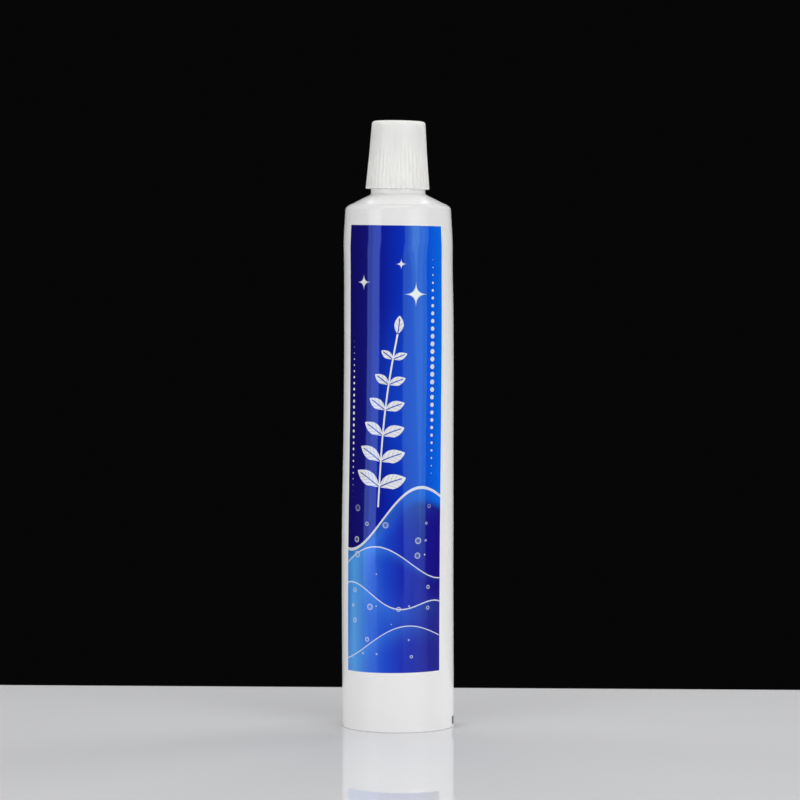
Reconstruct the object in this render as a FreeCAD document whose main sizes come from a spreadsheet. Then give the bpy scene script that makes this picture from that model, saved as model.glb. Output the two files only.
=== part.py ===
import FreeCAD, Part
import math
import os
import Sketcher

# Empty toothpaste tube with a ribbed screw cap, standing on its open end.
#
# The origin is the middle of the open end, +Z runs up the tube's axis to the cap, and the
# lap seam of the sleeve faces +Y. Lengths are millimetres and angles are degrees.
#
#   sleeve             one web of laminate rolled into a tube, lap welded, and folded over the shoulder
#   shoulder_and_neck  one moulding: skirt, conical shoulder, collar, threaded neck and nozzle
#   screw_cap          one moulding: ribbed taper outside, counterbore, thread and seat inside
#   cap_liner          the soft disc that the cap presses on the nozzle

SIZES = {
    # sleeve
    "sleeve_diameter": 28.0,      # outside, on the straight stretch
    "sleeve_wall": 0.3,           # laminate
    "straight_length": 123.3,     # from the open end to where the wall starts to draw in
    "neck_in_length": 7.9,        # height over which the wall draws in to the shoulder's edge
    "neck_in_angle": 4.2,         # lean of the wall there
    "neck_in_radius": 40.0,       # soft bend where the lean starts
    "fold_radius": 1.5,           # outside of the fold over the shoulder's edge
    "fold_flat": 0.37,            # how far the flat inside the fold stands back from its corner
    "lip_length": 0.15,           # laminate lying flat on the cone past the fold
    "seam_width": 2.4,            # lap seam along the back
    "seam_rise": 0.12,            # how far the pressed lap stands proud
    # shoulder and neck
    "shoulder_angle": 26.7,       # slope of the cone
    "shoulder_thickness": 1.3,
    "skirt_length": 4.0,          # skirt inside the sleeve, below the shoulder's edge
    "skirt_thickness": 0.7,
    "collar_height": 2.2,
    "collar_step": 0.95,          # collar beyond the thread's crest
    "collar_foot_slope": 0.6,     # sloped foot between the cone and the collar
    "thread_diameter": 12.0,      # over the crests of the neck's thread
    "thread_depth": 0.8,
    "thread_pitch": 3.0,
    "thread_turns": 1.75,
    "thread_drop": 2.2,           # nozzle lip down to the end of the thread's path
    "ridge_crest": 0.7,           # width of a thread ridge at its crest
    "flank_angle": 30.0,
    "neck_wall": 1.3,             # from the thread's root to the bore
    "nozzle_ledge": 0.9,          # how far the nozzle narrows the bore
    "nozzle_thickness": 1.2,
    "nozzle_chamfer": 0.5,
    "collar_chamfer": 0.3,
    "ridge_root": 0.3,            # how far a thread ridge is rooted in the wall that carries it
    # screw cap
    "rim_gap": 1.35,              # foot of the collar to the cap's rim
    "cap_height": 17.4,
    "waist_height": 8.7,          # rim to the line where the taper eases
    "rim_wall": 1.08,
    "waist_wall": 1.24,
    "top_wall": 1.05,
    "top_thickness": 1.5,
    "cap_edge_chamfer": 0.6,
    "counterbore_margin": 0.4,    # counterbore above the collar
    "chamber_step": 0.25,         # chamber for the liner, inside the thread's bore
    "collar_clearance": 0.22,
    "thread_clearance": 0.2,      # radial, crest to root
    "thread_play": 0.15,          # axial, on the flank that bears
    "cap_thread_turns": 1.75,
    "rib_count": 40,
    "flute_angle": 105.0,         # opening of the V between two ribs
    "rim_flute": 0.32,            # depth of the flutes at the rim
    "waist_flute": 0.2,           # and at the waist
    "flute_runout": 1.3,          # top of the cap down to where the flutes end
    "flute_reach": 0.4,           # how far the flute's cutting profile stands out of the cap
    # cap liner
    "liner_thickness": 0.9,
    "liner_clearance": 0.15,
}

TOUCH = 1e-4                # how near a point or an edge lies to where it is looked for
ORIGIN_POINT = (-1, 1)      # a sketch's own origin and axes, as its constraints name them
LEVEL_AXIS = -1
UPRIGHT_AXIS = -2

doc = FreeCAD.newDocument("EmptyToothpasteTube")
sheet = doc.addObject("Spreadsheet::Sheet", "Sizes")
for row, (alias, size) in enumerate(SIZES.items(), start=1):
    sheet.set(f"A{row}", alias)
    sheet.set(f"B{row}", str(size))
    sheet.setAlias(f"B{row}", alias)
doc.recompute()


# ---------------------------------------------------------------- places that pieces share
# Each is an expression on the sheet, so a sketch that uses it follows the sheet.

def offset_corner(from_wall, from_cone):
    """Where the leaning wall and the cone meet, once each is moved inwards by its own distance."""
    lean, slope = "Sizes.neck_in_angle", "Sizes.shoulder_angle"
    inwards = (f"(({from_wall}) / cos({lean}) - ({from_cone}) * tan({lean}) / cos({slope}))"
               f" / (1 - tan({lean}) * tan({slope}))")
    down = f"(({from_cone}) / cos({slope}) - ({inwards}) * tan({slope}))"
    return f"{EDGE_RADIUS} - {inwards}", f"{EDGE_HEIGHT} - {down}"


def wall_radius(height, depth):
    """Radius on the leaning wall at a height, at a depth below its outside."""
    return (f"{SLEEVE_RADIUS} - ({height} - Sizes.straight_length) * tan(Sizes.neck_in_angle)"
            f" - ({depth}) / cos(Sizes.neck_in_angle)")


def cone_height(radius, depth):
    """Height on the shoulder's cone at a radius, at a depth below its outside."""
    return (f"{EDGE_HEIGHT} + ({EDGE_RADIUS} - ({radius})) * tan(Sizes.shoulder_angle)"
            f" - ({depth}) / cos(Sizes.shoulder_angle)")


def flattened(corner):
    """Both ends of the flat that takes the place of a corner between the wall and the cone."""
    across, up = corner
    return ((f"{across} + Sizes.fold_flat * sin(Sizes.neck_in_angle)",
             f"{up} - Sizes.fold_flat * cos(Sizes.neck_in_angle)"),
            (f"{across} - Sizes.fold_flat * cos(Sizes.shoulder_angle)",
             f"{up} + Sizes.fold_flat * sin(Sizes.shoulder_angle)"))


def bend(depth):
    """Both ends of the soft bend where the wall starts to lean, at a depth below its outside."""
    start = "(Sizes.straight_length - Sizes.neck_in_radius * tan(Sizes.neck_in_angle / 2))"
    radius = f"(Sizes.neck_in_radius - ({depth}))"
    centre = f"{SLEEVE_RADIUS} - Sizes.neck_in_radius"
    return ((f"{centre} + {radius}", start),
            (f"{centre} + {radius} * cos(Sizes.neck_in_angle)",
             f"{start} + {radius} * sin(Sizes.neck_in_angle)"))


WALL = "Sizes.sleeve_wall"
SLEEVE_RADIUS = "Sizes.sleeve_diameter / 2"
EDGE_RADIUS = f"({SLEEVE_RADIUS} - Sizes.neck_in_length * tan(Sizes.neck_in_angle))"
EDGE_HEIGHT = "(Sizes.straight_length + Sizes.neck_in_length)"
FOLD_LENGTH = ("(Sizes.lip_length + Sizes.fold_radius"
               " * tan((90 - Sizes.shoulder_angle - Sizes.neck_in_angle) / 2))")
LIP_RADIUS = f"({EDGE_RADIUS} - {FOLD_LENGTH} * cos(Sizes.shoulder_angle))"
LIP_HEIGHT = f"({EDGE_HEIGHT} + {FOLD_LENGTH} * sin(Sizes.shoulder_angle))"
LIP_INNER_RADIUS = f"{LIP_RADIUS} - {WALL} * sin(Sizes.shoulder_angle)"
LIP_INNER_HEIGHT = f"{LIP_HEIGHT} - {WALL} * cos(Sizes.shoulder_angle)"

THREAD_RADIUS = "(Sizes.thread_diameter / 2)"
ROOT_RADIUS = f"({THREAD_RADIUS} - Sizes.thread_depth)"
COLLAR_RADIUS = f"({THREAD_RADIUS} + Sizes.collar_step)"
COLLAR_FOOT = f"({cone_height(COLLAR_RADIUS, '0')})"
COLLAR_TOP = f"({COLLAR_FOOT} + Sizes.collar_height)"
BORE_RADIUS = f"({ROOT_RADIUS} - Sizes.neck_wall)"
ORIFICE_RADIUS = f"({BORE_RADIUS} - Sizes.nozzle_ledge)"

RIM_HEIGHT = f"({COLLAR_FOOT} + Sizes.rim_gap)"
CAP_TOP = f"({RIM_HEIGHT} + Sizes.cap_height)"
SEAT_HEIGHT = f"({CAP_TOP} - Sizes.top_thickness)"
NOZZLE_HEIGHT = f"({SEAT_HEIGHT} - Sizes.liner_thickness)"
WAIST_HEIGHT = f"({RIM_HEIGHT} + Sizes.waist_height)"
COUNTERBORE_RADIUS = f"({COLLAR_RADIUS} + Sizes.collar_clearance)"
COUNTERBORE_TOP = f"({COLLAR_TOP} + Sizes.counterbore_margin)"
CAP_BORE_RADIUS = f"({THREAD_RADIUS} + Sizes.thread_clearance)"
CAP_CREST_RADIUS = f"({ROOT_RADIUS} + Sizes.thread_clearance)"
CHAMBER_RADIUS = f"({CAP_BORE_RADIUS} - Sizes.chamber_step)"
LINER_RADIUS = f"({CHAMBER_RADIUS} - Sizes.liner_clearance)"
RIM_RADIUS = f"({COUNTERBORE_RADIUS} + Sizes.rim_wall)"
WAIST_RADIUS = f"({CAP_BORE_RADIUS} + Sizes.waist_wall)"
TOP_RADIUS = f"({CHAMBER_RADIUS} + Sizes.top_wall)"

# The neck's thread ends a set drop below the lip. The cap's thread starts just under it, so that
# the cap's ridges bear on the undersides of the neck's ridges when the cap is tight.
THREAD_END = f"({NOZZLE_HEIGHT} - Sizes.thread_drop)"
THREAD_START = f"({THREAD_END} - Sizes.thread_turns * Sizes.thread_pitch)"
CAP_THREAD_START = (f"({THREAD_START} - Sizes.ridge_crest - Sizes.thread_play"
                    f" - ({THREAD_RADIUS} - {CAP_CREST_RADIUS}) * tan(Sizes.flank_angle))")


# ---------------------------------------------------------------- tools for the bodies

def value(expression):
    """The number that an expression on the sheet gives now."""
    return float(sheet.evalExpression(expression))


def new_body(label):
    """An empty body whose label names the piece's file."""
    body = doc.addObject("PartDesign::Body", label)
    body.Label = label
    return body


def origin_part(body, role):
    """One of the body's own origin planes or axes."""
    return next(part for part in body.Origin.OriginFeatures if part.Role == role)


def new_sketch(body, name, plane, height=None):
    """A sketch on one of the body's origin planes, raised to a height where one is given."""
    sketch = body.newObject("Sketcher::SketchObject", name)
    sketch.AttachmentSupport = [(origin_part(body, plane), "")]
    sketch.MapMode = "FlatFace"
    if height:
        sketch.setExpression("AttachmentOffset.Base.z", height)
    return sketch


def tie(sketch, constraint, expression):
    """A size in a sketch, tied to the sheet."""
    index = sketch.addConstraint(Sketcher.Constraint(*constraint, value(expression)))
    sketch.setExpression(f"Constraints[{index}]", expression)


def arc_between(start, end, radius):
    """An arc from start to end: it bulges to the right of the way there, or left if radius is negative."""
    chord = end - start
    outwards = FreeCAD.Vector(chord.y, -chord.x, 0).normalize()
    bulge = radius - math.copysign(math.sqrt(radius ** 2 - chord.Length ** 2 / 4), radius)
    return Part.Arc(start, (start + end) / 2 + outwards * bulge, end)


def round_between(before, corner, after, radius):
    """The arc that rounds a corner between the points before and after it."""
    back, on = (before - corner).normalize(), (after - corner).normalize()
    opening = back.getAngle(on) / 2
    reach = radius / math.tan(opening)
    middle = (back + on).normalize() * (radius / math.sin(opening) - radius)
    return Part.Arc(corner + back * reach, corner + middle, corner + on * reach)


def draw_outline(sketch, corners, arcs=None, rounds=None):
    """A closed outline through corners, each corner tied to the sheet.

    Each corner is a pair of expressions. arcs gives a radius for each edge that is an arc, by the
    number of the corner that it starts at, and rounds a radius for each corner that is rounded.
    """
    arcs, rounds = arcs or {}, rounds or {}
    points = [FreeCAD.Vector(value(across), value(up), 0) for across, up in corners]
    turned = {number: round_between(points[number - 1], points[number],
                                    points[(number + 1) % len(points)], value(radius))
              for number, radius in rounds.items()}
    starts = [turned[n].EndPoint if n in turned else points[n] for n in range(len(points))]
    stops = [turned[n].StartPoint if n in turned else points[n] for n in range(len(points))]

    def ends(geometry, start):
        return (1, 2) if (sketch.getPoint(geometry, 1) - start).Length < TOUCH else (2, 1)

    edge_ends = []
    for number, start in enumerate(starts):
        stop = stops[(number + 1) % len(points)]
        edge = Part.LineSegment(start, stop)
        if number in arcs:
            edge = arc_between(start, stop, value(arcs[number]))
        edge_ends.append(ends(sketch.addGeometry(edge), start))
    for number, (across, up) in enumerate(corners):
        leaving = (number, edge_ends[number][0])
        before = (number - 1) % len(corners)
        arriving = (before, edge_ends[before][1])
        place = leaving
        if number in rounds:
            corner = sketch.addGeometry(Part.Point(points[number]), True)
            arc = sketch.addGeometry(turned[number])
            arc_start, arc_end = ends(arc, stops[number])
            place = (corner, 1)
            sketch.addConstraint([
                Sketcher.Constraint("PointOnObject", *place, before),
                Sketcher.Constraint("PointOnObject", *place, number),
                Sketcher.Constraint("Tangent", *arriving, arc, arc_start),
                Sketcher.Constraint("Tangent", arc, arc_end, *leaving),
            ])
            tie(sketch, ("Radius", arc), rounds[number])
        else:
            sketch.addConstraint(Sketcher.Constraint("Coincident", *arriving, *leaving))
        if across == "0":
            sketch.addConstraint(Sketcher.Constraint("PointOnObject", *place, UPRIGHT_AXIS))
        else:
            tie(sketch, ("DistanceX", *ORIGIN_POINT, *place), across)
        if up == "0":
            sketch.addConstraint(Sketcher.Constraint("PointOnObject", *place, LEVEL_AXIS))
        else:
            tie(sketch, ("DistanceY", *ORIGIN_POINT, *place), up)
    for number, radius in arcs.items():
        tie(sketch, ("Radius", number), f"abs({radius})")


def revolve(body, name, sketch, degrees=None):
    """A turn of the sketch about +Z: a full turn, or a sector centred on the sketch's plane."""
    turned = body.newObject("PartDesign::Revolution", name)
    turned.Profile = sketch
    turned.ReferenceAxis = (origin_part(body, "Z_Axis"), [""])
    turned.Angle = 360.0
    if degrees:
        turned.Midplane = True
        turned.setExpression("Angle", degrees)
    doc.recompute()
    return turned


def ring_edge(feature, radius, height):
    """Name of the feature's full circle about +Z at this radius and height."""
    for number, edge in enumerate(feature.Shape.Edges, start=1):
        if edge.Degenerated or not isinstance(edge.Curve, Part.Circle) or not edge.isClosed():
            continue
        if abs(edge.Curve.Radius - radius) < TOUCH and abs(edge.Curve.Center.z - height) < TOUCH:
            return f"Edge{number}"
    raise ValueError(f"{feature.Name} has no ring of radius {radius} at height {height}")


def chamfer_ring(body, name, radius, height, size):
    """A chamfer on one full circle of the body's tip."""
    base = body.Tip
    chamfer = body.newObject("PartDesign::Chamfer", name)
    chamfer.Base = (base, [ring_edge(base, value(radius), value(height))])
    chamfer.setExpression("Size", size)
    doc.recompute()
    return chamfer


def add_ridge(body, name, sunk_radius, crest_radius, start, turns):
    """A right-hand thread ridge about +Z, from inside the wall that carries it to its crest."""
    half_crest = "Sizes.ridge_crest / 2"
    half_base = f"({half_crest} + abs(({crest_radius}) - ({sunk_radius})) * tan(Sizes.flank_angle))"
    sketch = new_sketch(body, f"{name}Profile", "XZ_Plane")
    draw_outline(sketch, [
        (sunk_radius, f"{start} - {half_base}"),
        (crest_radius, f"{start} - {half_crest}"),
        (crest_radius, f"{start} + {half_crest}"),
        (sunk_radius, f"{start} + {half_base}"),
    ])
    ridge = body.newObject("PartDesign::AdditiveHelix", name)
    ridge.Profile = sketch
    ridge.ReferenceAxis = (origin_part(body, "Z_Axis"), [""])
    ridge.Mode = "pitch-turns-angle"
    ridge.setExpression("Pitch", "Sizes.thread_pitch")
    ridge.setExpression("Turns", turns)
    doc.recompute()
    return ridge


# ---------------------------------------------------------------- the pieces

def make_sleeve():
    """The laminate tube, its fold over the shoulder and its lap seam."""
    body = new_body("sleeve")
    section = new_sketch(body, "WallSection", "XZ_Plane")
    draw_outline(section, [
        (f"{SLEEVE_RADIUS} - {WALL}", "0"),
        (SLEEVE_RADIUS, "0"),
        *bend(0),
        (EDGE_RADIUS, EDGE_HEIGHT),
        (LIP_RADIUS, LIP_HEIGHT),
        (LIP_INNER_RADIUS, LIP_INNER_HEIGHT),
        *reversed(flattened(offset_corner(WALL, WALL))),
        *reversed(bend(WALL)),
    ], arcs={2: "Sizes.neck_in_radius", 9: f"{WALL} - Sizes.neck_in_radius"},
        rounds={4: "Sizes.fold_radius"})
    revolve(body, "Wall", section)

    proud, sunk = "-Sizes.seam_rise", f"{WALL} / 2"
    seam_top = f"({EDGE_HEIGHT} - Sizes.fold_radius)"
    strip = new_sketch(body, "SeamSection", "YZ_Plane")
    draw_outline(strip, [
        (f"{SLEEVE_RADIUS} - {sunk}", "0"),
        (f"{SLEEVE_RADIUS} - {proud}", "0"),
        *bend(proud),
        (wall_radius(seam_top, proud), seam_top),
        (wall_radius(seam_top, sunk), seam_top),
        *reversed(bend(sunk)),
    ], arcs={2: f"Sizes.neck_in_radius - {proud}", 6: f"{sunk} - Sizes.neck_in_radius"})
    revolve(body, "LapSeam", strip, f"Sizes.seam_width / ({SLEEVE_RADIUS}) * 180 / pi")
    return body


def make_shoulder_and_neck():
    """The moulding that closes the sleeve's end: skirt, cone, collar, threaded neck and nozzle."""
    body = new_body("shoulder_and_neck")
    skirt_bottom = f"({EDGE_HEIGHT} - Sizes.skirt_length)"
    skirt_inside = f"{WALL} + Sizes.skirt_thickness"
    inner_corner = offset_corner(skirt_inside, "Sizes.shoulder_thickness")
    foot_radius = f"({COLLAR_RADIUS} + Sizes.collar_foot_slope)"
    throat = (BORE_RADIUS, cone_height(BORE_RADIUS, "Sizes.shoulder_thickness"))
    ledge_height = f"({NOZZLE_HEIGHT} - Sizes.nozzle_thickness)"
    section = new_sketch(body, "HeadSection", "XZ_Plane")
    draw_outline(section, [
        (wall_radius(skirt_bottom, WALL), skirt_bottom),
        *flattened(offset_corner(WALL, WALL)),
        (LIP_INNER_RADIUS, LIP_INNER_HEIGHT),
        (LIP_RADIUS, LIP_HEIGHT),
        (foot_radius, cone_height(foot_radius, "0")),
        (COLLAR_RADIUS, f"{COLLAR_FOOT} + Sizes.collar_foot_slope"),
        (COLLAR_RADIUS, COLLAR_TOP),
        (ROOT_RADIUS, COLLAR_TOP),
        (ROOT_RADIUS, NOZZLE_HEIGHT),
        (ORIFICE_RADIUS, NOZZLE_HEIGHT),
        (ORIFICE_RADIUS, ledge_height),
        (BORE_RADIUS, f"{ledge_height} - Sizes.nozzle_ledge"),
        throat,
        inner_corner,
        (wall_radius(skirt_bottom, skirt_inside), skirt_bottom),
    ])
    revolve(body, "Head", section)
    chamfer_ring(body, "CollarEdge", COLLAR_RADIUS, COLLAR_TOP, "Sizes.collar_chamfer")
    chamfer_ring(body, "NozzleEdge", ROOT_RADIUS, NOZZLE_HEIGHT, "Sizes.nozzle_chamfer")
    add_ridge(body, "NeckThread", f"{ROOT_RADIUS} - Sizes.ridge_root", THREAD_RADIUS, THREAD_START,
              "Sizes.thread_turns")
    return body


def make_screw_cap():
    """The ribbed cap: a taper that eases at the waist, fluted all round, threaded inside."""
    body = new_body("screw_cap")
    half_ridge = "(Sizes.ridge_crest / 2 + Sizes.thread_depth * tan(Sizes.flank_angle))"
    chamber_bottom = f"({THREAD_END} + {half_ridge} + Sizes.thread_play)"
    section = new_sketch(body, "CapSection", "XZ_Plane")
    draw_outline(section, [
        (RIM_RADIUS, RIM_HEIGHT),
        (WAIST_RADIUS, WAIST_HEIGHT),
        (TOP_RADIUS, CAP_TOP),
        ("0", CAP_TOP),
        ("0", SEAT_HEIGHT),
        (CHAMBER_RADIUS, SEAT_HEIGHT),
        (CHAMBER_RADIUS, f"{chamber_bottom} + Sizes.chamber_step"),
        (CAP_BORE_RADIUS, chamber_bottom),
        (CAP_BORE_RADIUS, f"{COUNTERBORE_TOP} + {COUNTERBORE_RADIUS} - {CAP_BORE_RADIUS}"),
        (COUNTERBORE_RADIUS, COUNTERBORE_TOP),
        (COUNTERBORE_RADIUS, RIM_HEIGHT),
    ])
    revolve(body, "Cap", section)
    chamfer_ring(body, "CapEdge", TOP_RADIUS, CAP_TOP, "Sizes.cap_edge_chamfer")

    runout_height = f"({CAP_TOP} - Sizes.flute_runout)"
    runout_radius = (f"({TOP_RADIUS} + Sizes.flute_runout * ({WAIST_RADIUS} - {TOP_RADIUS})"
                     f" / ({CAP_TOP} - {WAIST_HEIGHT}))")
    sections = []
    for place, radius, height, depth in (
        ("Rim", RIM_RADIUS, RIM_HEIGHT, "Sizes.rim_flute"),
        ("Waist", WAIST_RADIUS, WAIST_HEIGHT, "Sizes.waist_flute"),
        ("Runout", runout_radius, runout_height, "0"),
    ):
        half_width = f"({depth} + Sizes.flute_reach) * tan(Sizes.flute_angle / 2)"
        flute = new_sketch(body, f"Flute{place}", "XY_Plane", height)
        flute.setExpression("AttachmentOffset.Rotation.Angle", "180 / Sizes.rib_count")
        draw_outline(flute, [
            (f"{radius} - {depth}", "0"),
            (f"{radius} + Sizes.flute_reach", f"-{half_width}"),
            (f"{radius} + Sizes.flute_reach", half_width),
        ])
        sections.append(flute)
    flute = body.newObject("PartDesign::SubtractiveLoft", "Flute")
    flute.Profile = sections[0]
    flute.Sections = sections[1:]
    flute.Ruled = True
    doc.recompute()
    flutes = body.newObject("PartDesign::PolarPattern", "Flutes")
    flutes.Originals = [flute]
    flutes.Axis = (origin_part(body, "Z_Axis"), [""])
    flutes.Angle = 360.0
    flutes.setExpression("Occurrences", "Sizes.rib_count")
    body.Tip = flutes
    doc.recompute()

    add_ridge(body, "CapThread", f"{CAP_BORE_RADIUS} + Sizes.ridge_root", CAP_CREST_RADIUS,
              CAP_THREAD_START, "Sizes.cap_thread_turns")
    return body


def make_cap_liner():
    """The disc between the cap's seat and the nozzle's lip."""
    body = new_body("cap_liner")
    outline = new_sketch(body, "LinerOutline", "XY_Plane", NOZZLE_HEIGHT)
    outline.addGeometry(Part.Circle(FreeCAD.Vector(), FreeCAD.Vector(0, 0, 1), value(LINER_RADIUS)))
    outline.addConstraint(Sketcher.Constraint("Coincident", 0, 3, -1, 1))
    outline.addConstraint(Sketcher.Constraint("Radius", 0, value(LINER_RADIUS)))
    outline.setExpression("Constraints[1]", LINER_RADIUS)
    disc = body.newObject("PartDesign::Pad", "Liner")
    disc.Profile = outline
    disc.setExpression("Length", "Sizes.liner_thickness")
    doc.recompute()
    return body


# ---------------------------------------------------------------- build, check and write

bodies = [make_sleeve(), make_shoulder_and_neck(), make_screw_cap(), make_cap_liner()]
doc.recompute()

for item in doc.Objects:
    if {"Invalid", "Error"} & set(item.State):
        raise RuntimeError(f"{item.Name} failed: {item.State}")
for body in bodies:
    if body.Shape.isNull() or not body.Shape.isValid() or len(body.Shape.Solids) != 1:
        raise RuntimeError(f"{body.Label} is not one valid solid")

os.makedirs("parts", exist_ok=True)
for body in bodies:
    body.Shape.exportStep(f"parts/{body.Label}.step")
    box = body.Shape.BoundBox
    print(f"{body.Label:18s} {body.Shape.Volume:9.1f} mm3  z {box.ZMin:8.3f} to {box.ZMax:8.3f}"
          f"  x {box.XMin:7.3f} to {box.XMax:7.3f}  faces {len(body.Shape.Faces)}")
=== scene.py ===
"""Looks of an empty toothpaste tube that stands on its open end under a ribbed screw cap.

The classes hold sizes in millimetres and degrees; the bench turns them into metres.
The axis of the tube is +Z, and the lap seam of the sleeve faces +Y.
Heights at which one piece lies on another are read from the boxes of the CAD nodes.
"""

import logging
import math
from collections.abc import Callable, Iterable, Sequence
from dataclasses import dataclass
from enum import Enum
from itertools import pairwise

import bmesh
import bpy
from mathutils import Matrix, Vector


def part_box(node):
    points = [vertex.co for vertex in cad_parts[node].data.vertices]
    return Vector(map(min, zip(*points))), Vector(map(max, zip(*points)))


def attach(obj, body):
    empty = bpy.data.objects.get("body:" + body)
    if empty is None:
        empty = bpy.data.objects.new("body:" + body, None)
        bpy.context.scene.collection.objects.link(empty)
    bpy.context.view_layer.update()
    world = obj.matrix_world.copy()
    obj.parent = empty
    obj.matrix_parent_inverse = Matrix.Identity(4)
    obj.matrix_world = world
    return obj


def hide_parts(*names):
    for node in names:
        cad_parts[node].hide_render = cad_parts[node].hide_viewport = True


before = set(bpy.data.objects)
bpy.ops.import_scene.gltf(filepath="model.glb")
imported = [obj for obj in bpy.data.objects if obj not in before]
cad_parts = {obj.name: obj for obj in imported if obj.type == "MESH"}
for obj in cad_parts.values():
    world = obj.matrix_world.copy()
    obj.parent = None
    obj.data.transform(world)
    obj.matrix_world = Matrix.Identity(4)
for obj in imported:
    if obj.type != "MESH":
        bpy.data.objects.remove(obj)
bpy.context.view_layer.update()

MM = 0.001                  # metres in a millimetre
WELD = 3e-6                 # metres: vertices nearer than this are one
NEAR = 4e-6                 # metres: how near a vertex is to the place it is looked for
NEAR_TURN = 0.1             # degrees: the same, round the axis
SUPPORT = 0.15              # mm from a corner to the ring that keeps its shading off the flat

log = logging.getLogger("tube")

Point = tuple[float, float]
Triple = tuple[float, float, float]
Colour = tuple[float, float, float, float]
Test = Callable[[Vector], bool]


class Body(Enum):
    """The moving bodies of the frame."""

    TUBE = "tube"
    LINER = "cap_liner"
    CAP = "screw_cap"


class Slot(Enum):
    """The record's material slots."""

    LAMINATE = "sleeve_laminate"
    HEAD = "moulded_head"
    CAP = "moulded_cap"
    LINER = "liner_foam"


class End(Enum):
    """The lower or the upper end of a box."""

    LOW = 0
    HIGH = 1


def cad_height(node: str, end: End) -> float:
    """Height in millimetres of one end of a CAD node's box."""
    return round(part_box(node)[end.value].z / MM, 3)


NOZZLE_TOP = cad_height("shoulder_and_neck", End.HIGH)      # where the liner lies
CAP_RIM = cad_height("screw_cap", End.LOW)
SEAT = cad_height("cap_liner", End.HIGH)                    # where the cap presses on the liner


# ------------------------------------------------------------------ outlines

@dataclass(frozen=True)
class Corner:
    """A corner of a turned outline, rounded by an arc where it has a round."""

    radius: float
    height: float
    round: float = 0.0


def ease(share: float) -> float:
    """Eases a share from 0 to 1, level at both ends."""
    return share * share * (3 - 2 * share)


def arc_points(before: Vector, here: Vector, after: Vector, size: float, step: float) -> list[Vector]:
    """Points of the arc that rounds a corner.

    Args:
        before: the corner before it.
        here: the corner.
        after: the corner after it.
        size: radius of the arc.
        step: the most degrees between two points.

    Returns:
        The points from one tangent point to the other.
    """
    back, on = (before - here).normalized(), (after - here).normalized()
    opening = back.angle(on)
    reach = size / math.tan(opening / 2)
    middle = here + (back + on).normalized() * size / math.sin(opening / 2)
    start, end = here + back * reach - middle, here + on * reach - middle
    sweep = math.copysign(math.pi - opening, start.x * end.y - start.y * end.x)
    count = max(2, math.ceil(math.degrees(abs(sweep)) / step))
    turns = (sweep * number / count for number in range(count + 1))
    return [middle + Vector((start.x * math.cos(turn) - start.y * math.sin(turn),
                             start.x * math.sin(turn) + start.y * math.cos(turn)))
            for turn in turns]


def outline(corners: Sequence[Corner], longest: float, step: float = 9.0) -> list[Point]:
    """Points along a line of corners, with rounds drawn and long runs divided.

    Args:
        corners: the corners in order.
        longest: the longest run between two points.
        step: the most degrees between two points of a round.

    Returns:
        (radius, height) of each point.
    """
    places = [Vector((corner.radius, corner.height)) for corner in corners]
    drawn = [places[0]]
    for before, here, after, corner in zip(places, places[1:], places[2:], corners[1:]):
        drawn += arc_points(before, here, after, corner.round, step) if corner.round else [here]
    drawn.append(places[-1])
    points = [drawn[0]]
    for start, end in pairwise(drawn):
        run = (end - start).length
        if run > 4 * SUPPORT:
            along = (end - start) / run
            count = math.ceil((run - 2 * SUPPORT) / longest)
            points += [start + along * (SUPPORT + (run - 2 * SUPPORT) * number / count)
                       for number in range(count + 1)]
        points.append(end)
    return [(point.x, point.y) for point in points]


def follow(stops: Sequence[Point], place: float) -> float:
    """A value that eases from stop to stop, and is level at each of them.

    Args:
        stops: (place, value) pairs in order.
        place: where the value is wanted.

    Returns:
        The value.
    """
    if place <= stops[0][0]:
        return stops[0][1]
    for (low, start), (high, end) in pairwise(stops):
        if place < high:
            return start + (end - start) * ease((place - low) / (high - low))
    return stops[-1][1]


# ------------------------------------------------------------------ the bench

def clear_selection() -> None:
    """Leaves nothing selected, because an operator acts on all that is."""
    bpy.ops.object.select_all(action="DESELECT")


def select_alone(obj: bpy.types.Object) -> None:
    """Selects one object and makes it the active one.

    Args:
        obj: the object.
    """
    clear_selection()
    obj.select_set(True)
    bpy.context.view_layer.objects.active = obj


def turn_picked(degrees: float, axis: str, centre: Triple = (0, 0, 0)) -> None:
    """Turns what is picked about an axis. The minus is there because no window is open."""
    bpy.ops.transform.rotate(value=-math.radians(degrees), orient_axis=axis, center_override=centre)


def azimuth(place: Vector) -> float:
    """Degrees about the upright axis, counted from +X towards +Y."""
    return math.degrees(math.atan2(place.y, place.x))


def turn_between(one: float, other: float) -> float:
    """Degrees between two azimuths, the short way round."""
    return abs((one - other + 180) % 360 - 180)


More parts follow.
